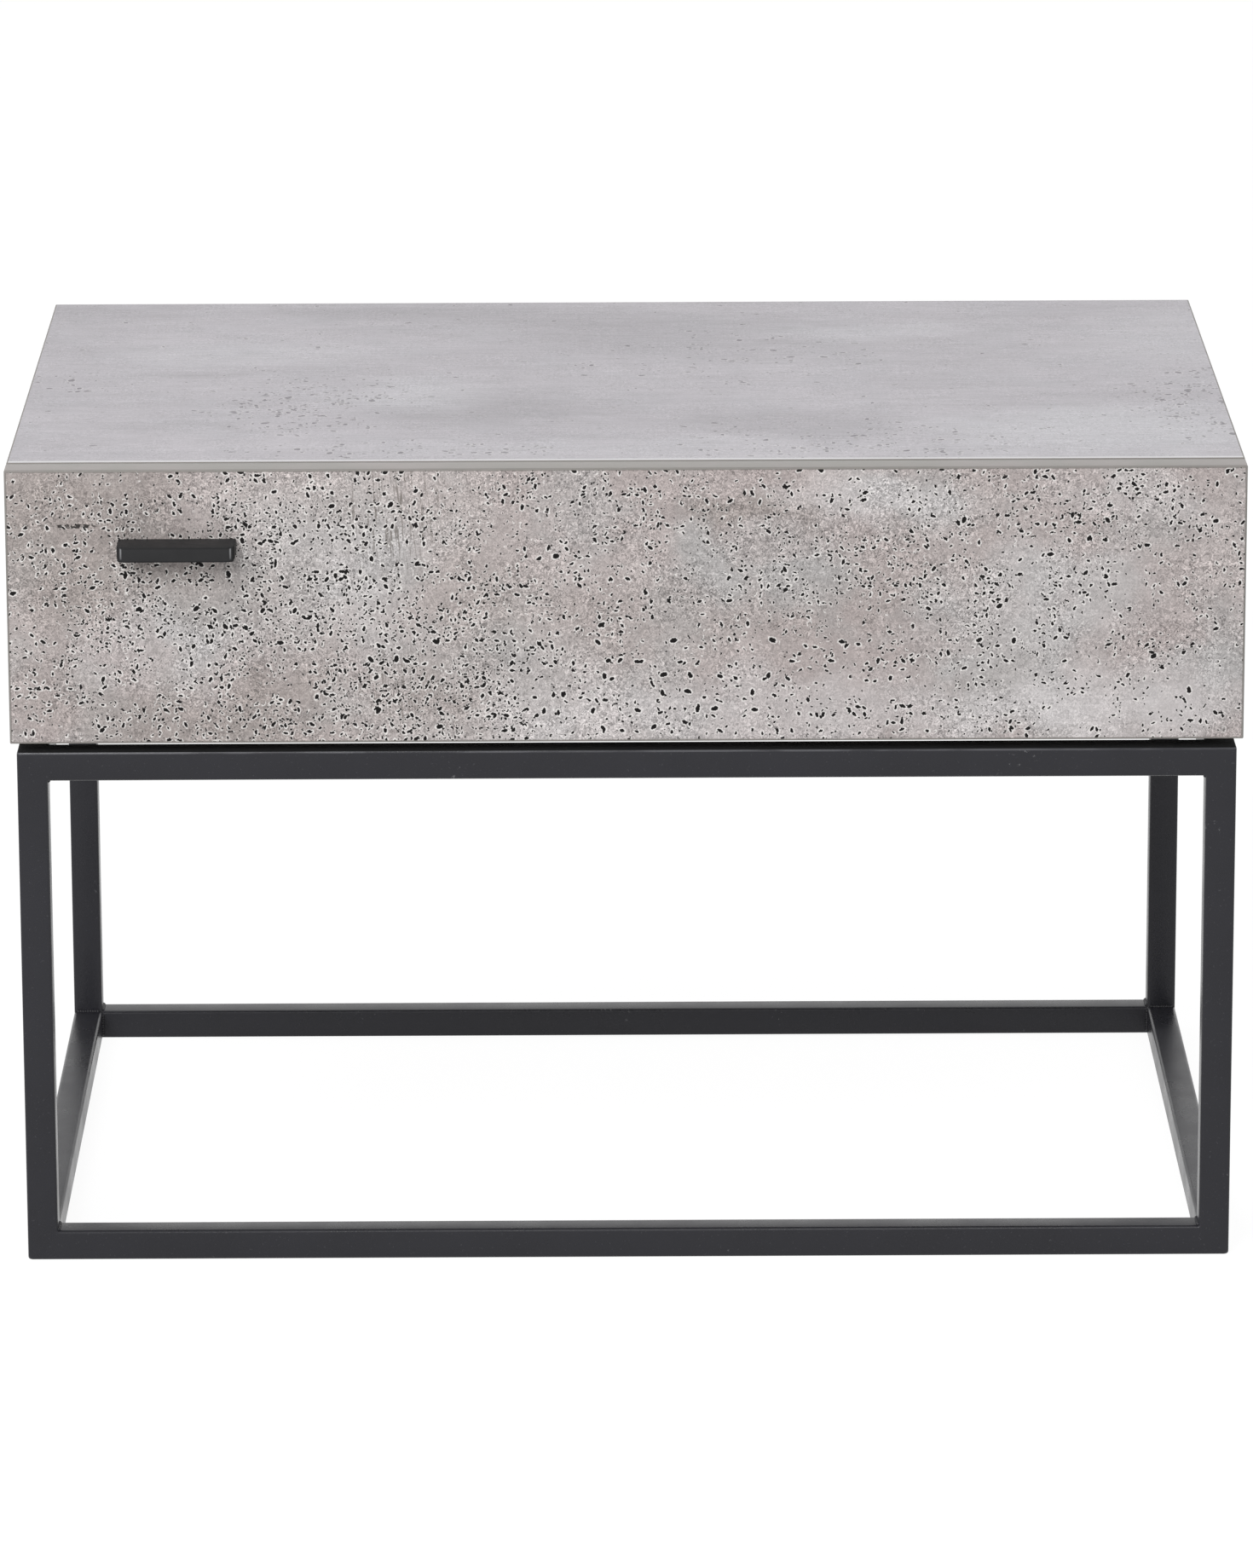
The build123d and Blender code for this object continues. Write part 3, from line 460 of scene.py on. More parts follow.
def powder_paint():
    """Black powder coat: orange peel, faint clouds, fine pale specks and a few rubbed scuffs."""
    material, place = finish("powder_coat", 0.30, specular=0.29)
    cloud = noise(place, 22, 5, 0.65)
    speck = spread(noise(place, 900, 1), 0.72, 0.76)
    rare = spread(noise(place, 26), 0.60, 0.68)
    scuff = times(spread(noise(place, 420, 4, 0.7), 0.60, 0.68), rare)
    tone = toned(shade(37, 37, 42), cloud, 0.10)
    tone = mix(times(speck, 0.25), tone, shade(90, 90, 94))
    tone = mix(times(scuff, 0.5), tone, shade(128, 128, 130))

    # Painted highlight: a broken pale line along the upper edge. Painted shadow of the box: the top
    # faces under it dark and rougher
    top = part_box("front_top_rail")[1].z
    height = axes_of(place)["Z"]
    highlight_fade = noise(squeeze(place, (8, 8, 1)), 240, 3)
    edge = spread(height, top - 0.0018, top - 0.0014)
    edge = times(edge, spread(highlight_fade, 0.35, 0.55, 0.2, 1))
    tone = mix(times(edge, 0.5), tone, shade(104, 104, 108))
    # Painted shadow of the box on the rails' top faces
    box_shadow = spread(height, top - 0.0009, top - 0.0005)
    tone = mix(box_shadow, tone, shade(9, 9, 10))
    dull = plus(spread(cloud, 0.3, 0.7, 0.25, 0.35), times(scuff, 0.2))
    dull = plus(dull, times(box_shadow, 0.6), True)
    return coated(material, tone, dull, noise(place, 1400), 0.00008)


def handle_paint():
    """Satin black, with painted highlights down its front corners and painted shade on its upper
    front edge, ends, top and joints.
    """
    low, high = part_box("handle")
    material, place = finish("satin_black", roughness=0.5, specular=0.12)
    x, y, z = axes_of(place)
    patchy = noise(place, 60, 3, 0.6)
    colour = toned(shade(44, 44, 45), patchy, 0.12)

    # Painted highlights: pale lines down the two front corners, brightest near the top
    at_front = spread(y, low.y + 0.0006, low.y + 0.0016, 1, 0)
    from_middle = sum_up("ABSOLUTE", less(x, (low.x + high.x) / 2))
    to_corner = less(from_middle, (high.x - low.x) / 2 - 0.0021)
    corner = spread(sum_up("ABSOLUTE", to_corner), 0.0002, 0.0006, 1, 0)
    above = spread(z, low.z + 0.0008, low.z + 0.0022)
    below = spread(z, high.z - 0.0010, high.z - 0.0004, 1, 0)
    corner = times(times(corner, times(above, below)), at_front)
    highlight_fade = spread(z, high.z - 0.0070, high.z - 0.0020, 0.45, 1)
    colour = mix(times(corner, highlight_fade), colour, shade(124, 124, 126))

    # Painted shade: darker upper edge, ends, top and joints
    upper = times(spread(z, high.z - 0.0012, high.z - 0.0007), at_front)
    upper = times(upper, spread(to_corner, -0.0004, 0.0002, 1, 0))
    ends = spread(to_corner, 0.0006, 0.0014)
    top_shade = spread(z, high.z - 0.0002, high.z - 0.0001)
    joint_shade = joined([
        spread(y, high.y - 0.0022, high.y - 0.0004),
        spread(z, low.z + 0.0002, low.z + 0.0010, 1, 0),
    ])
    for mask, strength, tone in (
        (upper, 0.55, shade(24, 24, 25)), (ends, 0.6, shade(22, 22, 23)),
        (top_shade, 0.45, shade(30, 30, 31)), (joint_shade, 0.7, shade(18, 18, 19)),
    ):
        colour = mix(times(mask, strength), colour, tone)
    dull = spread(patchy, 0.3, 0.7, 0.42, 0.54)
    return coated(material, colour, dull, noise(place, 1600), 0.00003)


def zinc_plate():
    """Bright zinc with faint blue and yellow patches, dull spots and fine scratches."""
    material, place = finish("zinc_plate", 0.32, 1.0)
    spots = noise(place, 260, 3, 0.6)
    tint = spread(noise(place, 90), 0.35, 0.65)
    colour = mix(tint, shade(194, 199, 208), shade(214, 211, 200))
    scratch = joined([
        spread(noise(squeeze(place, (30, 1, 1), turn), 2600, 2, 0.6), 0.60, 0.70)
        for turn in (0.4, 1.9)
    ])
    dull = plus(spread(spots, 0.3, 0.7, 0.24, 0.42), times(scratch, 0.12))
    height = less(spots, scratch)
    return coated(material, toned(colour, spots, 0.12), dull, height, 0.00002)


def board_paper(name, colour, along, roughness=0.45):
    """Plain decor paper on board: fibres one way, small dark flecks and an eggshell skin."""
    material, place = finish(name, roughness, specular=0.4)
    cloud = noise(place, 11, 4, 0.6)
    fibre = noise(squeeze(place, along), 620, 3, 0.65)
    fleck = spread(noise(place, 820, 1), 0.66, 0.73, 0, 0.4)
    tone = toned(toned(colour, cloud, 0.06), fibre, 0.10)
    dull = spread(cloud, 0.3, 0.7, roughness - 0.05, roughness + 0.06)
    skin = plus(noise(place, 1300), fibre)
    return coated(material, darker(tone, fleck, 0.5), dull, skin, 0.00004)


def beech_wood():
    """Beech cut along X: fine lines of grain with short dark flecks."""
    material, place = finish("beech_wood", 0.6, specular=0.3)
    lines = noise(squeeze(place, (20, 1, 1)), 1500, 3, 0.6)
    fleck = spread(noise(squeeze(place, (7, 1, 1)), 2200, 1), 0.62, 0.70)
    tone = mix(lines, shade(186, 148, 108), shade(220, 188, 148))
    dull = spread(lines, 0.3, 0.7, 0.68, 0.52)
    height = less(lines, fleck)
    return coated(material, darker(tone, fleck, 0.3), dull, height, 0.00005)


def epoxy_coat():
    """Off-white powder coat on runner sheet: orange peel, a few specks and grey rubbed spots."""
    material, place = finish("runner_epoxy", 0.38, specular=0.5)
    patchy = noise(place, 30, 4, 0.6)
    speck = spread(noise(place, 700, 1), 0.72, 0.76, 0, 0.6)
    rubbed = noise(squeeze(place, (1, 10, 1)), 160, 4, 0.65)
    tone = darker(toned(shade(222, 222, 218), patchy, 0.05), speck, 0.5)
    tone = darker(tone, spread(rubbed, 0.60, 0.72), 0.10)
    dull = spread(patchy, 0.3, 0.7, 0.32, 0.44)
    return coated(material, tone, dull, noise(place, 1100), 0.00004)


def soft_gel():
    """Clear soft plastic, a little milky, with fine haze and dust."""
    material, place = finish("clear_gel", 0.18, specular=0.5)
    sockets = Bench.tree.nodes["Principled BSDF"].inputs
    sockets["Transmission Weight"].default_value = 0.65
    sockets["IOR"].default_value = 1.45
    haze = noise(place, 500, 3, 0.6)
    tone = toned(shade(226, 226, 222), haze, 0.06)
    return coated(material, tone, spread(haze, 0.3, 0.7, 0.12, 0.28), haze, 0.00002)


top_edging = edging_band("top_edging", "top_panel_edging", "Z")
floor_edging = edging_band("floor_edging", "bottom_panel_edging", "Z")
front_edging = edging_band("front_edging", "drawer_front_edging", "Y")
side_edging = plain_paint("side_edging", shade(154, 150, 146), 0.45, change=0.05)
powder_coat = powder_paint()
satin_black = handle_paint()
zinc = zinc_plate()
runner_coat = epoxy_coat()
gel = soft_gel()
nylon = plain_paint(
    "white_nylon", shade(232, 232, 228), 0.42, peel=1500, depth=0.00002, change=0.03,
)

SIDE_RAILS = [f"{side}_{end}_rail" for side in ("left", "right") for end in ("top", "bottom")]
HIDDEN_HARDWARE = [
    "box_inserts", "carcass_cam_bolts", "carcass_cams", "drawer_cam_bolts", "drawer_cams",
]
BOARD_GREY = shade(186, 186, 184)
dress(SIDE_RAILS, powder_coat)
dress(["frame_bolts"], plain_paint("black_bolts", shade(40, 40, 42), 0.35))
dress(["frame_spacers"], plain_paint("black_nylon", shade(38, 38, 38), 0.6))
dress(HIDDEN_HARDWARE, zinc)
dress(["carcass_dowels", "drawer_dowels"], beech_wood())
dress(
    ["drawer_left_side", "drawer_right_side"],
    board_paper("drawer_side_melamine", BOARD_GREY, (1, 12, 1)),
)
dress(["drawer_back"], board_paper("drawer_back_melamine", BOARD_GREY, (12, 1, 1)))
dress(["drawer_bottom"], board_paper("drawer_sheet_paper", shade(189, 189, 186), (4, 1, 1), 0.5))

# ---- Modelling helpers ----

# Distances that count as near: to a face, to an edge, to a point and to a double
CLOSE = 0.001
HAIR = 0.0001
SAME_POINT = 0.00001
DOUBLES = 0.000001

# How far a piece reaches into the one that it is welded to
OVERLAP = 0.0002

# How much of a direction lies along an axis: nearly all of it, or nearly none
ALONG = 0.9
ACROSS = 0.1


def start_shape(add, name, scale=(1, 1, 1), **settings):
    """Add a primitive with nothing else selected, and open it for editing."""
    bpy.ops.object.select_all(action="DESELECT")
    add(**settings)
    piece = bpy.context.object
    piece.scale = scale
    piece.name = name
    piece.data.name = name
    bpy.ops.object.transform_apply(location=True, rotation=True, scale=True)
    bpy.ops.object.mode_set(mode="EDIT")
    bpy.ops.mesh.select_all(action="DESELECT")
    return piece


def box_shape(name, low, high):
    """A box between two corners, open for editing."""
    middle = (Vector(low) + Vector(high)) / 2
    size = Vector(high) - Vector(low)
    return start_shape(
        bpy.ops.mesh.primitive_cube_add, name, size=1, location=middle, scale=size
    )


def pick(piece, kind, test):
    """Select the faces or edges that pass a test on their middle and their direction."""
    bpy.ops.mesh.select_mode(type="FACE" if kind == "faces" else "EDGE")
    bpy.ops.mesh.select_all(action="DESELECT")
    bpy.ops.object.mode_set(mode="OBJECT")
    mesh = piece.data
    for part in mesh.polygons if kind == "faces" else mesh.edges:
        points = [mesh.vertices[index].co for index in part.vertices]
        middle = sum(points, Vector()) / len(points)
        way = part.normal if kind == "faces" else (points[1] - points[0]).normalized()
        part.select = bool(test(middle, way))
    bpy.ops.object.mode_set(mode="EDIT")


def ease(piece, size, segments, test):
    """Round the edges that pass a test."""
    pick(piece, "edges", test)
    bpy.ops.mesh.bevel(offset=size, segments=segments, affect="EDGES")


def draw_out(way):
    """Extrude what is selected along a vector."""
    bpy.ops.mesh.extrude_region_move(TRANSFORM_OT_translate={"value": way})


def end_shape(piece, angle=35):
    """Close the editing: merge doubles, turn the faces outwards and smooth the rounded ones."""
    bpy.ops.mesh.select_all(action="SELECT")
    bpy.ops.mesh.remove_doubles(threshold=DOUBLES)
    bpy.ops.mesh.normals_make_consistent(inside=False)
    bpy.ops.object.mode_set(mode="OBJECT")
    bpy.ops.object.shade_smooth_by_angle(angle=math.radians(angle))
    return piece


def copies(piece, name, frames):
    """One piece from copies of a shape, each copy with its own mesh, set in the given frames."""
    made = []
    for count, place in enumerate(frames):
        copy = piece.copy()
        copy.data = piece.data.copy()
        copy.name = f"{name}_{count}"
        copy.matrix_world = place
        bpy.context.scene.collection.objects.link(copy)
        made.append(copy)
    bpy.data.objects.remove(piece)
    bpy.ops.object.select_all(action="DESELECT")
    for copy in made:
        copy.select_set(True)
    bpy.context.view_layer.objects.active = made[0]
    bpy.ops.object.transform_apply(location=True, rotation=True, scale=True)
    if len(made) > 1:
        bpy.ops.object.join()
    whole = bpy.context.object
    whole.name = name
    whole.data.name = name
    return whole


def ring_shape(name, low, high, axis, width):
    """A box hollowed along one axis to a ring of the given width, open for editing."""
    ring = box_shape(name, low, high)
    pick(ring, "faces", lambda middle, way: abs(way[axis]) > ALONG)
    bpy.ops.mesh.inset(thickness=width)
    bpy.ops.mesh.bridge_edge_loops()
    return ring


def turned(name, sides, rings, hollow=False, angle=35):
    """A round piece along Z, drawn ring by ring: each ring is a height and a radius."""
    (height, radius), *others = rings
    piece = start_shape(
        bpy.ops.mesh.primitive_circle_add, name, vertices=sides, radius=radius,
        fill_type="NOTHING" if hollow else "NGON", location=(0, 0, height),
    )
    bpy.ops.mesh.select_mode(type="EDGE" if hollow else "FACE")
    bpy.ops.mesh.select_all(action="SELECT")
    for next_height, next_radius in others:
        draw_out((0, 0, next_height - height))
        growth = next_radius / radius
        bpy.ops.transform.resize(value=(growth, growth, 1))
        height, radius = next_height, next_radius
    return end_shape(piece, angle)


def use_tool(piece, tool, how="DIFFERENCE"):
    """Cut a tool out of a piece, or weld it on, and throw the tool away."""
    boolean = piece.modifiers.new("tool", "BOOLEAN")
    boolean.operation = how
    boolean.object = tool
    bpy.context.view_layer.objects.active = piece
    bpy.ops.object.modifier_apply(modifier=boolean.name)
    bpy.data.objects.remove(tool)
    return piece


def facing(point, direction, turn=0.0):
    """A frame at a point whose Z axis looks along a direction."""
    looking = Vector(direction).to_track_quat("Z", "Y").to_matrix().to_4x4()
    return Matrix.Translation(point) @ looking @ Matrix.Rotation(turn, 4, "Z")


def stand_for(piece, body, slot, material, *names):
    """Dress a piece, let it ride on its body, and show it in place of CAD nodes."""
    piece.data.materials.clear()
    piece.data.materials.append(material)
    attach(piece, body)
    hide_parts(*names)


# ---- Base frame: two welded rectangles with ground corners, and the weld beads ----

TUBE = 0.015
TUBE_CORNER = 0.0016
BEAD_LEG = 0.0013
RIPPLES = 9
# Each scale of a bead: how much it rises, and how much wider it grows
RIPPLE_STEPS = ((0.35, 1.32), (0.35, 1.0), (0.3, 1 / 1.32))


def frame_rectangle(end):
    """One upright rectangle of square tube, its mitres ground smooth."""
    low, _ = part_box(f"{end}_left_leg")
    _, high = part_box(f"{end}_right_leg")
    ring = ring_shape(f"{end}_frame", low, high, 1, TUBE)
    centre = (low + high) / 2
    half = (high - low) / 2
    outer = half - Vector((CLOSE, 0, CLOSE))
    ease(
        ring, TUBE_CORNER, 5,
        lambda middle, way: abs(way.y) < ACROSS
        or (abs(middle.x - centre.x) > outer.x and abs(middle.z - centre.z) > outer.z),
    )
    return end_shape(ring)


for end in ("front", "rear"):
    parts = [f"{end}_{part}" for part in ("left_leg", "right_leg", "bottom_rail", "top_rail")]
    stand_for(frame_rectangle(end), "table", "frame_paint", powder_coat, *parts)


def weld_bead(length):
    """A weld bead along Z: a row of small overlapping scales."""
    height, radius = -length / 2, BEAD_LEG * 0.7
    rings = [(height, radius)]
    for rise, growth in RIPPLE_STEPS * RIPPLES:
        height += length / RIPPLES * rise
        radius *= growth
        rings.append((height, radius))
    return turned("weld_bead", 12, rings, angle=60)


def bead_frames():
    """Where the beads lie: in the rectangles' inner corners, and where the side rails meet them."""
    left_post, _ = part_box("front_left_leg")
    _, rear_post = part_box("rear_right_leg")
    post_x = rear_post.x - TUBE / 2
    low, high = left_post.z, rear_post.z
    rails = ((low + TUBE, 1), (high - TUBE, -1))
    found = []
    for side in (-1, 1):
        inner_x = side * (post_x - TUBE / 2)
        for corner_z, up in rails:
            for line_y in (left_post.y + TUBE / 2, rear_post.y - TUBE / 2):
                found.append(facing((inner_x, line_y, corner_z), (0, 1, 0)))
            for end_y in (left_post.y + TUBE, rear_post.y - TUBE):
                found.append(facing((side * post_x, end_y, corner_z), (1, 0, 0)))
                found.append(facing((inner_x, end_y, corner_z - up * TUBE / 2), (0, 0, 1)))
    return found


stand_for(
    copies(weld_bead(TUBE - 2 * TUBE_CORNER), "weld_beads", bead_frames()),
    "table", "frame_paint", powder_coat, "frame_welds",
)

# ---- Handle: a cast bar, hollow from below ----

HANDLE_CORNER = 0.004
HANDLE_END_ROUND = 0.0015
HANDLE_EDGE_ROUND = 0.0004
HANDLE_WALL = 0.0022
HANDLE_CEILING = 0.002
HANDLE_SCREW_XS = (-0.233, -0.201)
HANDLE_BOSS = Vector((0.008, 0.009, 0.0045))
BOSS_CORNER = 0.0015


def cast_handle():
    """The pull, with wide front corners, soft lower edges and a finger hollow."""
    low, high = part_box("handle")
    bar = box_shape("handle_bar", low, high)
    front, back, top, bottom = low.y, high.y, high.z, low.z
    ease(
        bar, HANDLE_CORNER, 10,
        lambda middle, way: abs(way.z) > ALONG and middle.y < front + CLOSE,
    )
    pick(bar, "faces", lambda middle, way: way.z < -ALONG)
    bpy.ops.mesh.inset(thickness=HANDLE_WALL)
    draw_out((0, 0, top - bottom - HANDLE_CEILING))
    ease(
        bar, HANDLE_END_ROUND, 5,
        lambda middle, way: abs(way.y) > ALONG and middle.z < bottom + HAIR
        and abs(middle.x - (low.x + high.x) / 2) > (high.x - low.x) / 2 - CLOSE / 2,
    )
    ease(
        bar, HANDLE_EDGE_ROUND, 3,
        lambda middle, way: abs(way.z) < ACROSS
        and middle.y < back - HAIR and middle.z > top - HAIR,
    )
    return end_shape(bar)


def screw_boss(x):
    """A pad inside the handle's hollow, round a screw's thread."""
    _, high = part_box("handle")
    ceiling = high.z - HANDLE_CEILING / 2
    pad = box_shape(
        "screw_boss",
        (x - HANDLE_BOSS.x / 2, high.y - HANDLE_BOSS.y, ceiling - HANDLE_BOSS.z),
        (x + HANDLE_BOSS.x / 2, high.y - OVERLAP, ceiling),
    )
    ease(
        pad, BOSS_CORNER, 4,
        lambda middle, way: abs(way.z) > ALONG and middle.y < high.y - CLOSE,
    )
    return end_shape(pad)


handle_bar = cast_handle()
for screw_x in HANDLE_SCREW_XS:
    use_tool(handle_bar, screw_boss(screw_x), "UNION")

stand_for(handle_bar, "drawer", "handle_paint", satin_black, "handle")

# ---- Edge bands: thin strips round each panel, with their outer edges eased ----

BAND = 0.0008
BAND_ROUND = 0.0006


def edge_band(node, axis):
    """The strip round the four narrow faces of a panel that lies across an axis."""
    low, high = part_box(node)
    ring = ring_shape(node + "_strip", low, high, axis, BAND)
    centre, half = (low + high) / 2, (high - low) / 2
    across, along = [other for other in range(3) if other != axis]
    ease(
        ring, BAND_ROUND, 4,
        lambda middle, way: abs(middle[across] - centre[across]) > half[across] - BAND / 4
        or abs(middle[along] - centre[along]) > half[along] - BAND / 4,
    )
    return end_shape(ring)


def side_strip():
    """A strip on the front edge of a side panel, its two long edges eased."""
    low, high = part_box("right_side_panel")
    strip = box_shape("side_strip", (0, 0, low.z), (high.x - low.x, BAND, high.z))
    ease(
        strip, BAND_ROUND * 0.8, 4,
        lambda middle, way: abs(way.z) > ALONG and middle.y < BAND / 4,
    )
    return end_shape(strip)


def side_strip_frames():
    """Where the side strips lie: at the front and rear of both sides."""
    low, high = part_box("side_panel_edging")
    inner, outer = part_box("right_side_panel")
    thickness = outer.x - inner.x
    half_turn = Matrix.Rotation(math.pi, 4, "Z")
    found = []
    for x in (low.x, high.x - thickness):
        found.append(Matrix.Translation((x, low.y, 0)))
        found.append(Matrix.Translation((x + thickness, high.y, 0)) @ half_turn)
    return found


for node, axis, body, material in (
    ("top_panel_edging", 2, "table", top_edging),
    ("bottom_panel_edging", 2, "table", floor_edging),
    ("drawer_front_edging", 1, "drawer", front_edging),
):
    stand_for(edge_band(node, axis), body, "edging_strip", material, node)
stand_for(
    copies(side_strip(), "side_panel_strips", side_strip_frames()),
    "table", "edging_strip", side_edging, "side_panel_edging",
)

# ---- Screws, with cross recesses and ridged shanks ----

# A pan head's outline, in parts of its height and radius, and a countersunk head's rim
PAN_DOME = ((0.4, 1.0), (0.62, 0.95), (0.8, 0.84), (0.93, 0.66), (1.0, 0.4))
HEAD_RIM = 0.0002


def thread(start, end, core, crest, pitch):
    """The rings of a thread's ridges between two heights."""
    return [
        (start + turn * pitch + pitch * rise, radius)
        for turn in range(int((end - start) / pitch))
        for rise, radius in ((0.1, core), (0.45, crest), (0.6, crest), (0.95, core))
    ]


def cross_driver(top, reach, width, depth):
    """The tip of a cross driver, which narrows downwards from a height."""
    half = width / 2
    tip = box_shape("cross_driver", (-half, -half, top - depth), (half, half, top + CLOSE / 2))
    for way_out in ((1, 0, 0), (-1, 0, 0), (0, 1, 0), (0, -1, 0)):
        pick(tip, "faces", lambda middle, way: way.dot(Vector(way_out)) > ALONG)
        draw_out(Vector(way_out) * (reach - half))
    pick(tip, "faces", lambda middle, way: way.z < -ALONG)
    bpy.ops.transform.resize(value=(0.5, 0.5, 1))
    return end_shape(tip)


def wood_screw(name, head, head_height, shank, length):
    """A countersunk screw along Z, its head's face at zero."""
    core = shank * 0.68
    tip_top = shank * 1.8 - length
    rings = [(-length, shank * 0.1), (tip_top, core)]
    rings += thread(tip_top, -head_height * 1.6, core, shank, shank * 0.8)
    rings += [(-head_height, shank * 0.9), (-HEAD_RIM, head), (0, head * 0.96)]
    screw = turned(name, 24, rings)
    return use_tool(screw, cross_driver(0, head * 0.62, head * 0.24, head_height * 0.9))


def machine_screw(name, head, head_height, shank, length):
    """A pan-headed screw along Z, its head standing on zero."""
    core = shank * 0.82
    tip_top = shank * 0.3 - length
    rings = [(-length, shank * 0.75), (tip_top, core)]
    rings += thread(tip_top, -shank, core, shank, shank * 0.35)
    rings += [(0, shank * 0.9), (0, head)]
    rings += [(head_height * rise, head * part) for rise, part in PAN_DOME]
    screw = turned(name, 28, rings)
    return use_tool(screw, cross_driver(head_height, head * 0.55, head * 0.2, head_height * 0.7))


def drive(node, name, body, screw, places):
    """Copies of a screw in place of a node's: each place is a point and the way its head looks."""
    frames = [facing(point, way, turn=0.5 * count) for count, (point, way) in enumerate(places)]
    stand_for(copies(screw, name, frames), body, "zinc_steel", zinc, node)


# Heads: radius of the head, its height and radius of the shank
PAN_HEAD = (0.004, 0.0024, 0.002)
BOX_HEAD = (0.0035, 0.002, 0.00175)
CARCASS_HEAD = (0.005, 0.0015, 0.0035)
RUNNER_HEAD = (0.0028, 0.0012, 0.0016)
BOX_SCREW_LENGTH = 0.028
CABINET_SCREW_LENGTH = 0.0132
DRAWER_SCREW_LENGTH = 0.0077
RUNNER_SCREW_PITCH = 0.12
SHEET = 0.0012

low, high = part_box("handle_screws")
drive(
    "handle_screws", "handle_pan_screws", "drawer",
    machine_screw("pan_screw", *PAN_HEAD, high.y - PAN_HEAD[1] - low.y),
    [((x, high.y - PAN_HEAD[1], (low.z + high.z) / 2), (0, 1, 0)) for x in HANDLE_SCREW_XS],
)
low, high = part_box("drawer_screws")
drive(
    "drawer_screws", "drawer_box_screws", "drawer",
    wood_screw("box_screw", *BOX_HEAD, BOX_SCREW_LENGTH),
    [
        ((x, (low.y + high.y) / 2, z), (x, 0, 0))
        for x in (low.x, high.x) for z in (low.z + BOX_HEAD[0], high.z - BOX_HEAD[0])
    ],
)
low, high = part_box("carcass_screws")
drive(
    "carcass_screws", "carcass_floor_screws", "table",
    wood_screw("floor_screw", *CARCASS_HEAD, high.z - low.z),
    [
        ((x, y, low.z), (0, 0, -1))
        for x in (low.x + CARCASS_HEAD[0], high.x - CARCASS_HEAD[0])
        for y in (low.y + CARCASS_HEAD[0], high.y - CARCASS_HEAD[0])
    ],
)


def screw_rows(low):
    """Where along Y the three screws of a runner go."""
    return [low.y + RUNNER_HEAD[0] + turn * RUNNER_SCREW_PITCH for turn in range(3)]


def cabinet_screw_points():
    """The screws through the webs of the cabinet runners."""
    low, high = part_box("cabinet_runner_screws")
    web_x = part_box("right_cabinet_runner")[1].x - SHEET
    return [(x, y, (low.z + high.z) / 2) for x in (-web_x, web_x) for y in screw_rows(low)]


def drawer_screw_points():
    """The screws up through the flanges of the drawer runners."""
    low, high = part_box("drawer_runner_screws")
    reach = RUNNER_HEAD[0]
    return [(x, y, low.z) for x in (low.x + reach, high.x - reach) for y in screw_rows(low)]


drive(
    "cabinet_runner_screws", "cabinet_track_screws", "table",
    wood_screw("track_screw", *RUNNER_HEAD, CABINET_SCREW_LENGTH),
    [(point, (-point[0], 0, 0)) for point in cabinet_screw_points()],
)
drive(
    "drawer_runner_screws", "drawer_rail_screws", "drawer",
    wood_screw("rail_screw", *RUNNER_HEAD, DRAWER_SCREW_LENGTH),
    [(point, (0, 0, -1)) for point in drawer_screw_points()],
)

# ---- Runners: bent sheet with eased bends and slots, moulded rollers on rivets ----

OUTER_BEND = 0.0016
INNER_BEND = 0.0004
SLOT_WIDTH = 0.0042
SLOT_LENGTH = 0.009
STOP_HEIGHT = 0.003
STOP_PLACE = 0.0675
STOP_CORNER = 0.0012
HOLE_PLAY = 0.00005
PUNCH_REACH = 0.003


def bent_sheet(name, front, rear, line, bends):
    """Sheet folded along Y: a line of (x, z) corners, and the rounding of each inner corner."""
    (first_x, first_z), (next_x, next_z), *others = line
    sheet = start_shape(
        bpy.ops.mesh.primitive_plane_add, name, size=1,
        location=((first_x + next_x) / 2, (front + rear) / 2, first_z),
        scale=(abs(next_x - first_x), rear - front, 1),
    )
    x, z = next_x, next_z

    def at_corner(corner_x, corner_z):
        """A test for the edge along Y at a corner of the line."""
        corner = Vector((corner_x, corner_z))
        return lambda middle, way: abs(way.y) > ALONG and (middle.xz - corner).length < SAME_POINT

    for far_x, far_z in others:
        pick(sheet, "edges", at_corner(x, z))
        draw_out((far_x - x, 0, far_z - z))
        x, z = far_x, far_z
    for corner, size in zip(line[1:-1], bends):
        ease(sheet, size, 5, at_corner(*corner))
    return end_shape(sheet)


def thicken(sheet, way):
    """Give folded sheet its thickness, on the side that its web is to grow to."""
    web = max(sheet.data.polygons, key=lambda face: face.area)
    wall = sheet.modifiers.new("wall", "SOLIDIFY")
    wall.thickness = SHEET
    wall.offset = 1 if web.normal.dot(Vector(way)) > 0 else -1
    wall.use_even_offset = True
    bpy.context.view_layer.objects.active = sheet
    bpy.ops.object.modifier_apply(modifier=wall.name)
    return sheet


def round_punch(point, way, radius):
    """A round punch through sheet, along a direction."""
    punch = turned("punch", 24, [(-PUNCH_REACH, radius), (PUNCH_REACH, radius)])
    return copies(punch, "punch", [facing(point, way)])


def slot_punch(point):
    """A punch for an oval slot through an upright web."""
    centre = Vector(point)
    reach = Vector((PUNCH_REACH, SLOT_LENGTH / 2, SLOT_WIDTH / 2))
    punch = box_shape("slot_punch", centre - reach, centre + reach)
    ease(punch, SLOT_WIDTH * 0.499, 8, lambda middle, way: abs(way.x) > ALONG)
    return end_shape(punch)


def stop_tab(side, low, wall, edge):
    """The tab across a track that holds the drawer in when it is pulled right out."""
    front = low.y + STOP_PLACE
    inner, outer = edge + side * OVERLAP, wall - side * SHEET / 2
    tab = box_shape(
        "stop_tab",
        (min(inner, outer), front, low.z + SHEET / 2),
        (max(inner, outer), front + SHEET, low.z + SHEET + STOP_HEIGHT),
    )
    ease(
        tab, STOP_CORNER, 5,
        lambda middle, way: abs(way.y) > ALONG and middle.z > low.z + STOP_HEIGHT
        and abs(middle.x - inner) < HAIR,
    )
    return end_shape(tab)


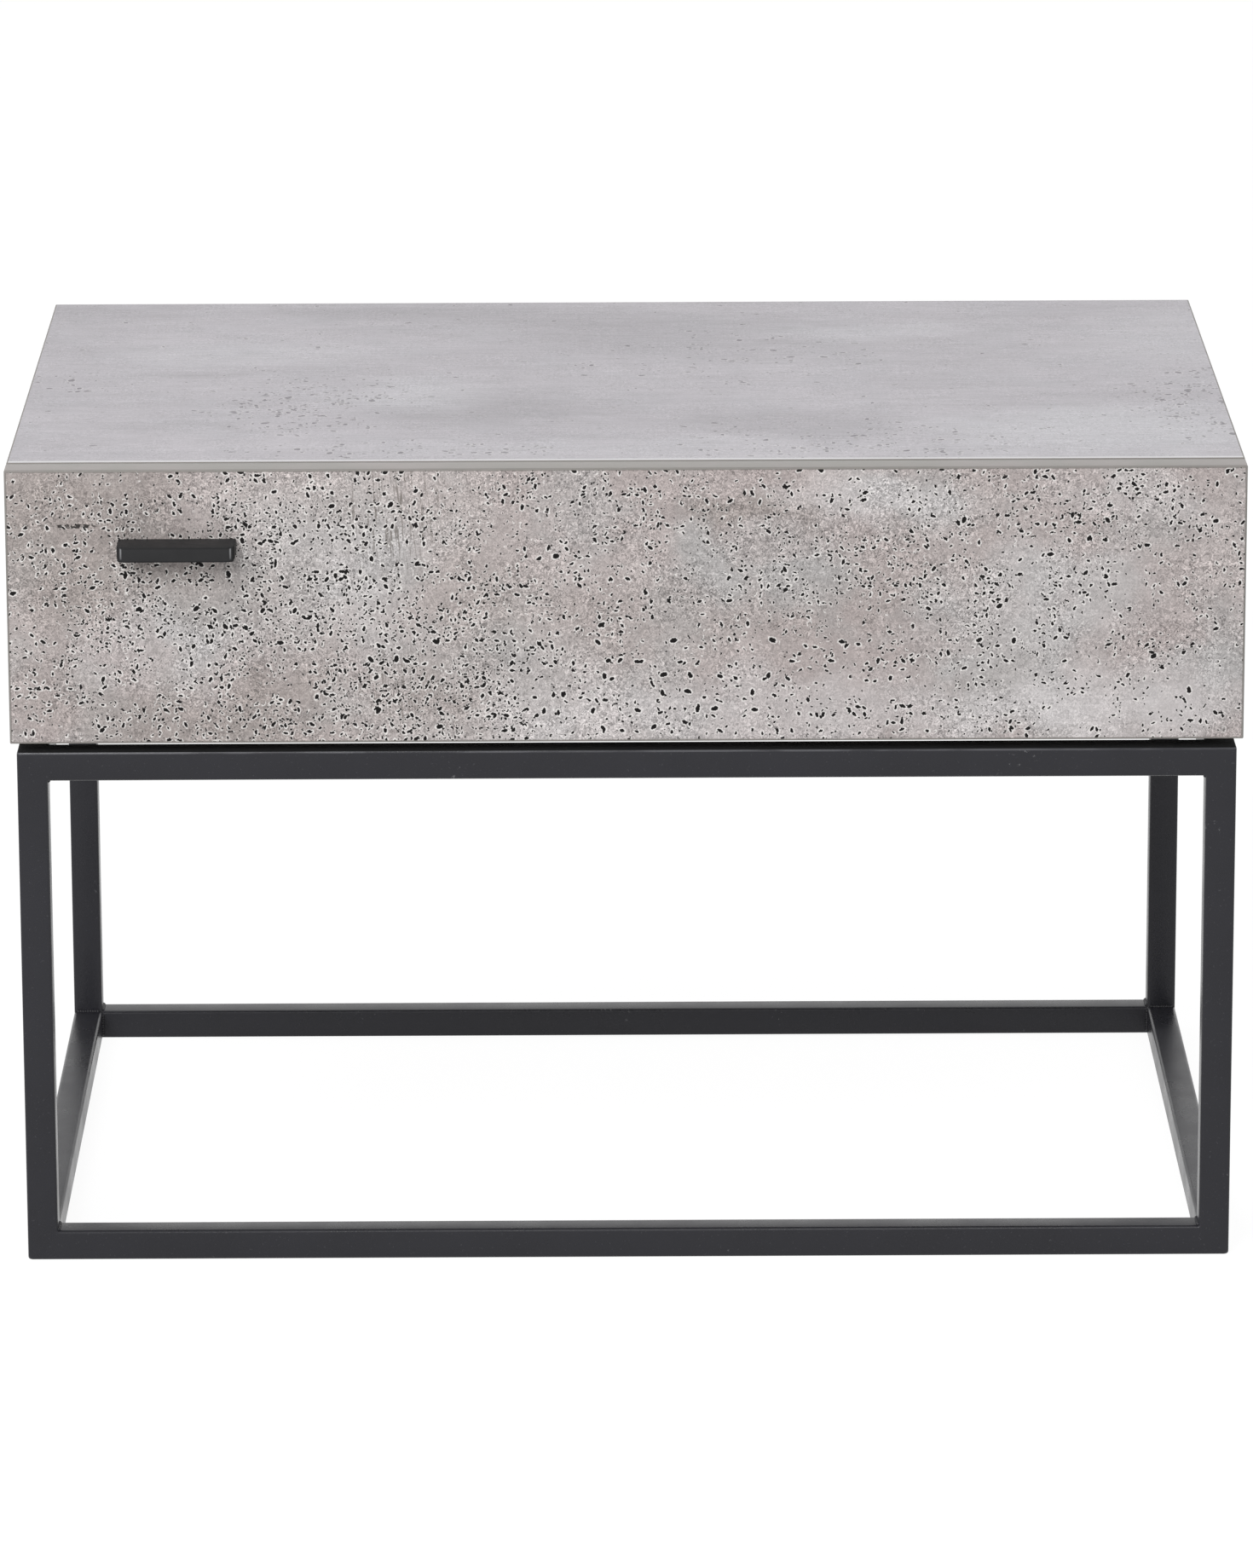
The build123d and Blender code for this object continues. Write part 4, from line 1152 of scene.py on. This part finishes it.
def cabinet_track(side, name):
    """The channel on a side panel: flanges inwards, a stop tab, screw holes and slots."""
    low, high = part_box(name)
    wall, edge = (high.x, low.x) if side > 0 else (low.x, high.x)
    line = [(edge, low.z), (wall, low.z), (wall, high.z), (edge, high.z)]
    track = bent_sheet(name + "_sheet", low.y, high.y, line, (OUTER_BEND, OUTER_BEND))
    thicken(track, (-side, 0, 0))
    use_tool(track, stop_tab(side, low, wall, edge), "UNION")
    for point in cabinet_screw_points():
        if point[0] * side > 0:
            use_tool(track, round_punch(point, (1, 0, 0), RUNNER_HEAD[0] + HOLE_PLAY))
            use_tool(track, slot_punch((wall, point[1] + RUNNER_SCREW_PITCH / 2, point[2])))
    return track


def drawer_rail(side, name):
    """The rail under a drawer side: a flange for its screws, a web, and a hook outwards."""
    low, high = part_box(name)
    inner, outer = (low.x, high.x) if side > 0 else (high.x, low.x)
    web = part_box("drawer_right_side")[1].x * side + side * SHEET
    line = [(inner, low.z), (web, low.z), (web, high.z - SHEET), (outer, high.z - SHEET)]
    rail = bent_sheet(name + "_sheet", low.y, high.y, line, (OUTER_BEND, INNER_BEND))
    thicken(rail, (-side, 0, 0))
    for point in drawer_screw_points():
        if point[0] * side > 0:
            use_tool(rail, round_punch(point, (0, 0, 1), RUNNER_HEAD[0] + HOLE_PLAY))
    return rail


SIDES = ((-1, "left"), (1, "right"))
for side, side_name in SIDES:
    track_node, rail_node = f"{side_name}_cabinet_runner", f"{side_name}_drawer_runner"
    track, rail = cabinet_track(side, track_node), drawer_rail(side, rail_node)
    stand_for(track, "table", "runner_coat", runner_coat, track_node)
    stand_for(rail, "drawer", "runner_coat", runner_coat, rail_node)

# Rings in millimetres: height and radius
ROLLER_RINGS = [
    (0.0, 2.55), (0.0, 5.0), (0.5, 5.3), (0.5, 8.0), (0.0, 8.3), (0.0, 9.2), (0.2, 9.75),
    (0.7, 10.0), (7.9, 10.0), (8.4, 9.75), (8.6, 9.2), (8.6, 8.3), (8.1, 8.0), (8.1, 5.6),
    (8.6, 5.2), (8.6, 4.4), (7.2, 4.4), (7.2, 2.55), (0.0, 2.55),
]
RIVET_RINGS = [
    (-1.2, 2.5), (0.0, 2.5), (0.0, 3.8), (0.4, 3.8), (0.4, 2.5), (7.9, 2.5), (7.9, 4.0),
    (8.25, 3.95), (8.6, 3.5), (8.82, 2.7), (8.9, 1.6), (8.75, 1.3), (8.7, 0.6),
]
BUMPER_RINGS = [
    (0, 4.0), (0.3, 4.0), (0.62, 3.75), (0.88, 3.2), (1.06, 2.4), (1.16, 1.4), (1.2, 0.5),
]
AXLE_PLAY = 0.0005
rivet_frames = {"cabinet": [], "drawer": []}


def in_metres(rings):
    """Rings that are given in millimetres, in metres."""
    return [(height / 1000, radius / 1000) for height, radius in rings]


for side, side_name in SIDES:
    for part, way in (("cabinet", -side), ("drawer", side)):
        node = f"{side_name}_{part}_roller"
        low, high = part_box(node)
        start_x = low.x if way > 0 else high.x
        axle = Vector((start_x, (low.y + high.y) / 2, (low.z + high.z) / 2))
        roller = turned("roller", 64, in_metres(ROLLER_RINGS), hollow=True)
        roller = copies(roller, node + "_wheel", [facing(axle, (way, 0, 0))])
        stand_for(roller, node, "roller_nylon", nylon, node)
        rivet_frames[part].append(facing(axle - Vector((way * AXLE_PLAY, 0, 0)), (way, 0, 0)))

for part, body in (("cabinet", "table"), ("drawer", "drawer")):
    rivet = turned("rivet", 28, in_metres(RIVET_RINGS))
    stand_for(
        copies(rivet, f"{part}_roller_rivets", rivet_frames[part]),
        body, "zinc_steel", zinc, f"{part}_roller_pins",
    )

# ---- Soft stops behind the drawer front ----


def bumper_frames():
    """The four corners of the drawer front's rear face."""
    low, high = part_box("drawer_bumpers")
    inset = BUMPER_RINGS[0][1] / 1000
    return [
        facing((x, low.y, z), (0, 1, 0))
        for x in (low.x + inset, high.x - inset) for z in (low.z + inset, high.z - inset)
    ]


stand_for(
    copies(turned("bumper", 32, in_metres(BUMPER_RINGS)), "gel_bumpers", bumper_frames()),
    "drawer", "bumper_gel", gel, "drawer_bumpers",
)

# ---- Studio ----

FLOOR_LEVEL = 1.06
FLOOR_LIT = 0.12
SKY_LIGHT = 0.45
LAMP_AIM = Vector((0, 0, 0.3))
CAMERA_PLACE = (-0.016, -4.017, 1.263)
CAMERA_TURN = (75.066, 0.188, -0.286)
CAMERA_LENS = 186.7


def seen_part(owner):
    """Put an emptied material or world on the bench: where it is seen, also in reflections."""
    lay_out(owner)
    Bench.tree.nodes.clear()
    rays = step("LightPath").outputs
    kinds = ("Is Camera Ray", "Is Glossy Ray", "Is Transmission Ray")
    return joined([rays[kind] for kind in kinds])


def floor_white(name, lit):
    """White where it is seen. The lit share of it keeps a soft shadow."""
    material = bpy.data.materials.new(name)
    seen = seen_part(material)
    glow = step("Emission", {"Color": (1, 1, 1, 1), "Strength": FLOOR_LEVEL - lit})
    soft = step("BsdfDiffuse", {"Color": (lit, lit, lit, 1)})
    both = step("AddShader", {0: glow.outputs[0], 1: soft.outputs[0]})
    pale = step("BsdfDiffuse", {"Color": (0.8, 0.8, 0.8, 1)})
    chosen = step("MixShader", {0: seen, 1: pale.outputs[0], 2: both.outputs[0]})
    step("OutputMaterial", {"Surface": chosen.outputs[0]})
    return material


bpy.ops.object.select_all(action="DESELECT")
bpy.ops.mesh.primitive_plane_add(size=40, location=(0, 0, 0))
floor = bpy.context.object
floor.name = "studio_floor"
floor.data.materials.append(floor_white("studio_floor_white", FLOOR_LIT))


def softbox(name, place, size, power):
    """A square area light aimed at the middle of the table."""
    data = bpy.data.lights.new(name, "AREA")
    data.size = size
    data.energy = power
    lamp = bpy.data.objects.new(name, data)
    bpy.context.scene.collection.objects.link(lamp)
    lamp.location = place
    lamp.rotation_euler = (LAMP_AIM - Vector(place)).to_track_quat("-Z", "Y").to_euler()


softbox("key_softbox", (-1.3, -3.0, 2.2), 1.8, 85)
softbox("top_softbox", (0.2, 0.2, 3.0), 2.4, 16)

world = bpy.data.worlds.new("studio")
bpy.context.scene.world = world
strength = spread(seen_part(world), 0, 1, SKY_LIGHT, 1.0, smooth=False)
sky = step("Background", {"Color": (1, 1, 1, 1), "Strength": strength})
step("OutputWorld", {"Surface": sky.outputs[0]})

bpy.context.scene.view_settings.view_transform = "Standard"

camera_data = bpy.data.cameras.new("camera")
camera = bpy.data.objects.new("camera", camera_data)
bpy.context.scene.collection.objects.link(camera)
bpy.context.scene.camera = camera
camera_data.sensor_width = 36
camera_data.lens = CAMERA_LENS
camera_data.clip_start = 0.1
camera_data.clip_end = 100
camera.location = CAMERA_PLACE
camera.rotation_euler = [math.radians(angle) for angle in CAMERA_TURN]
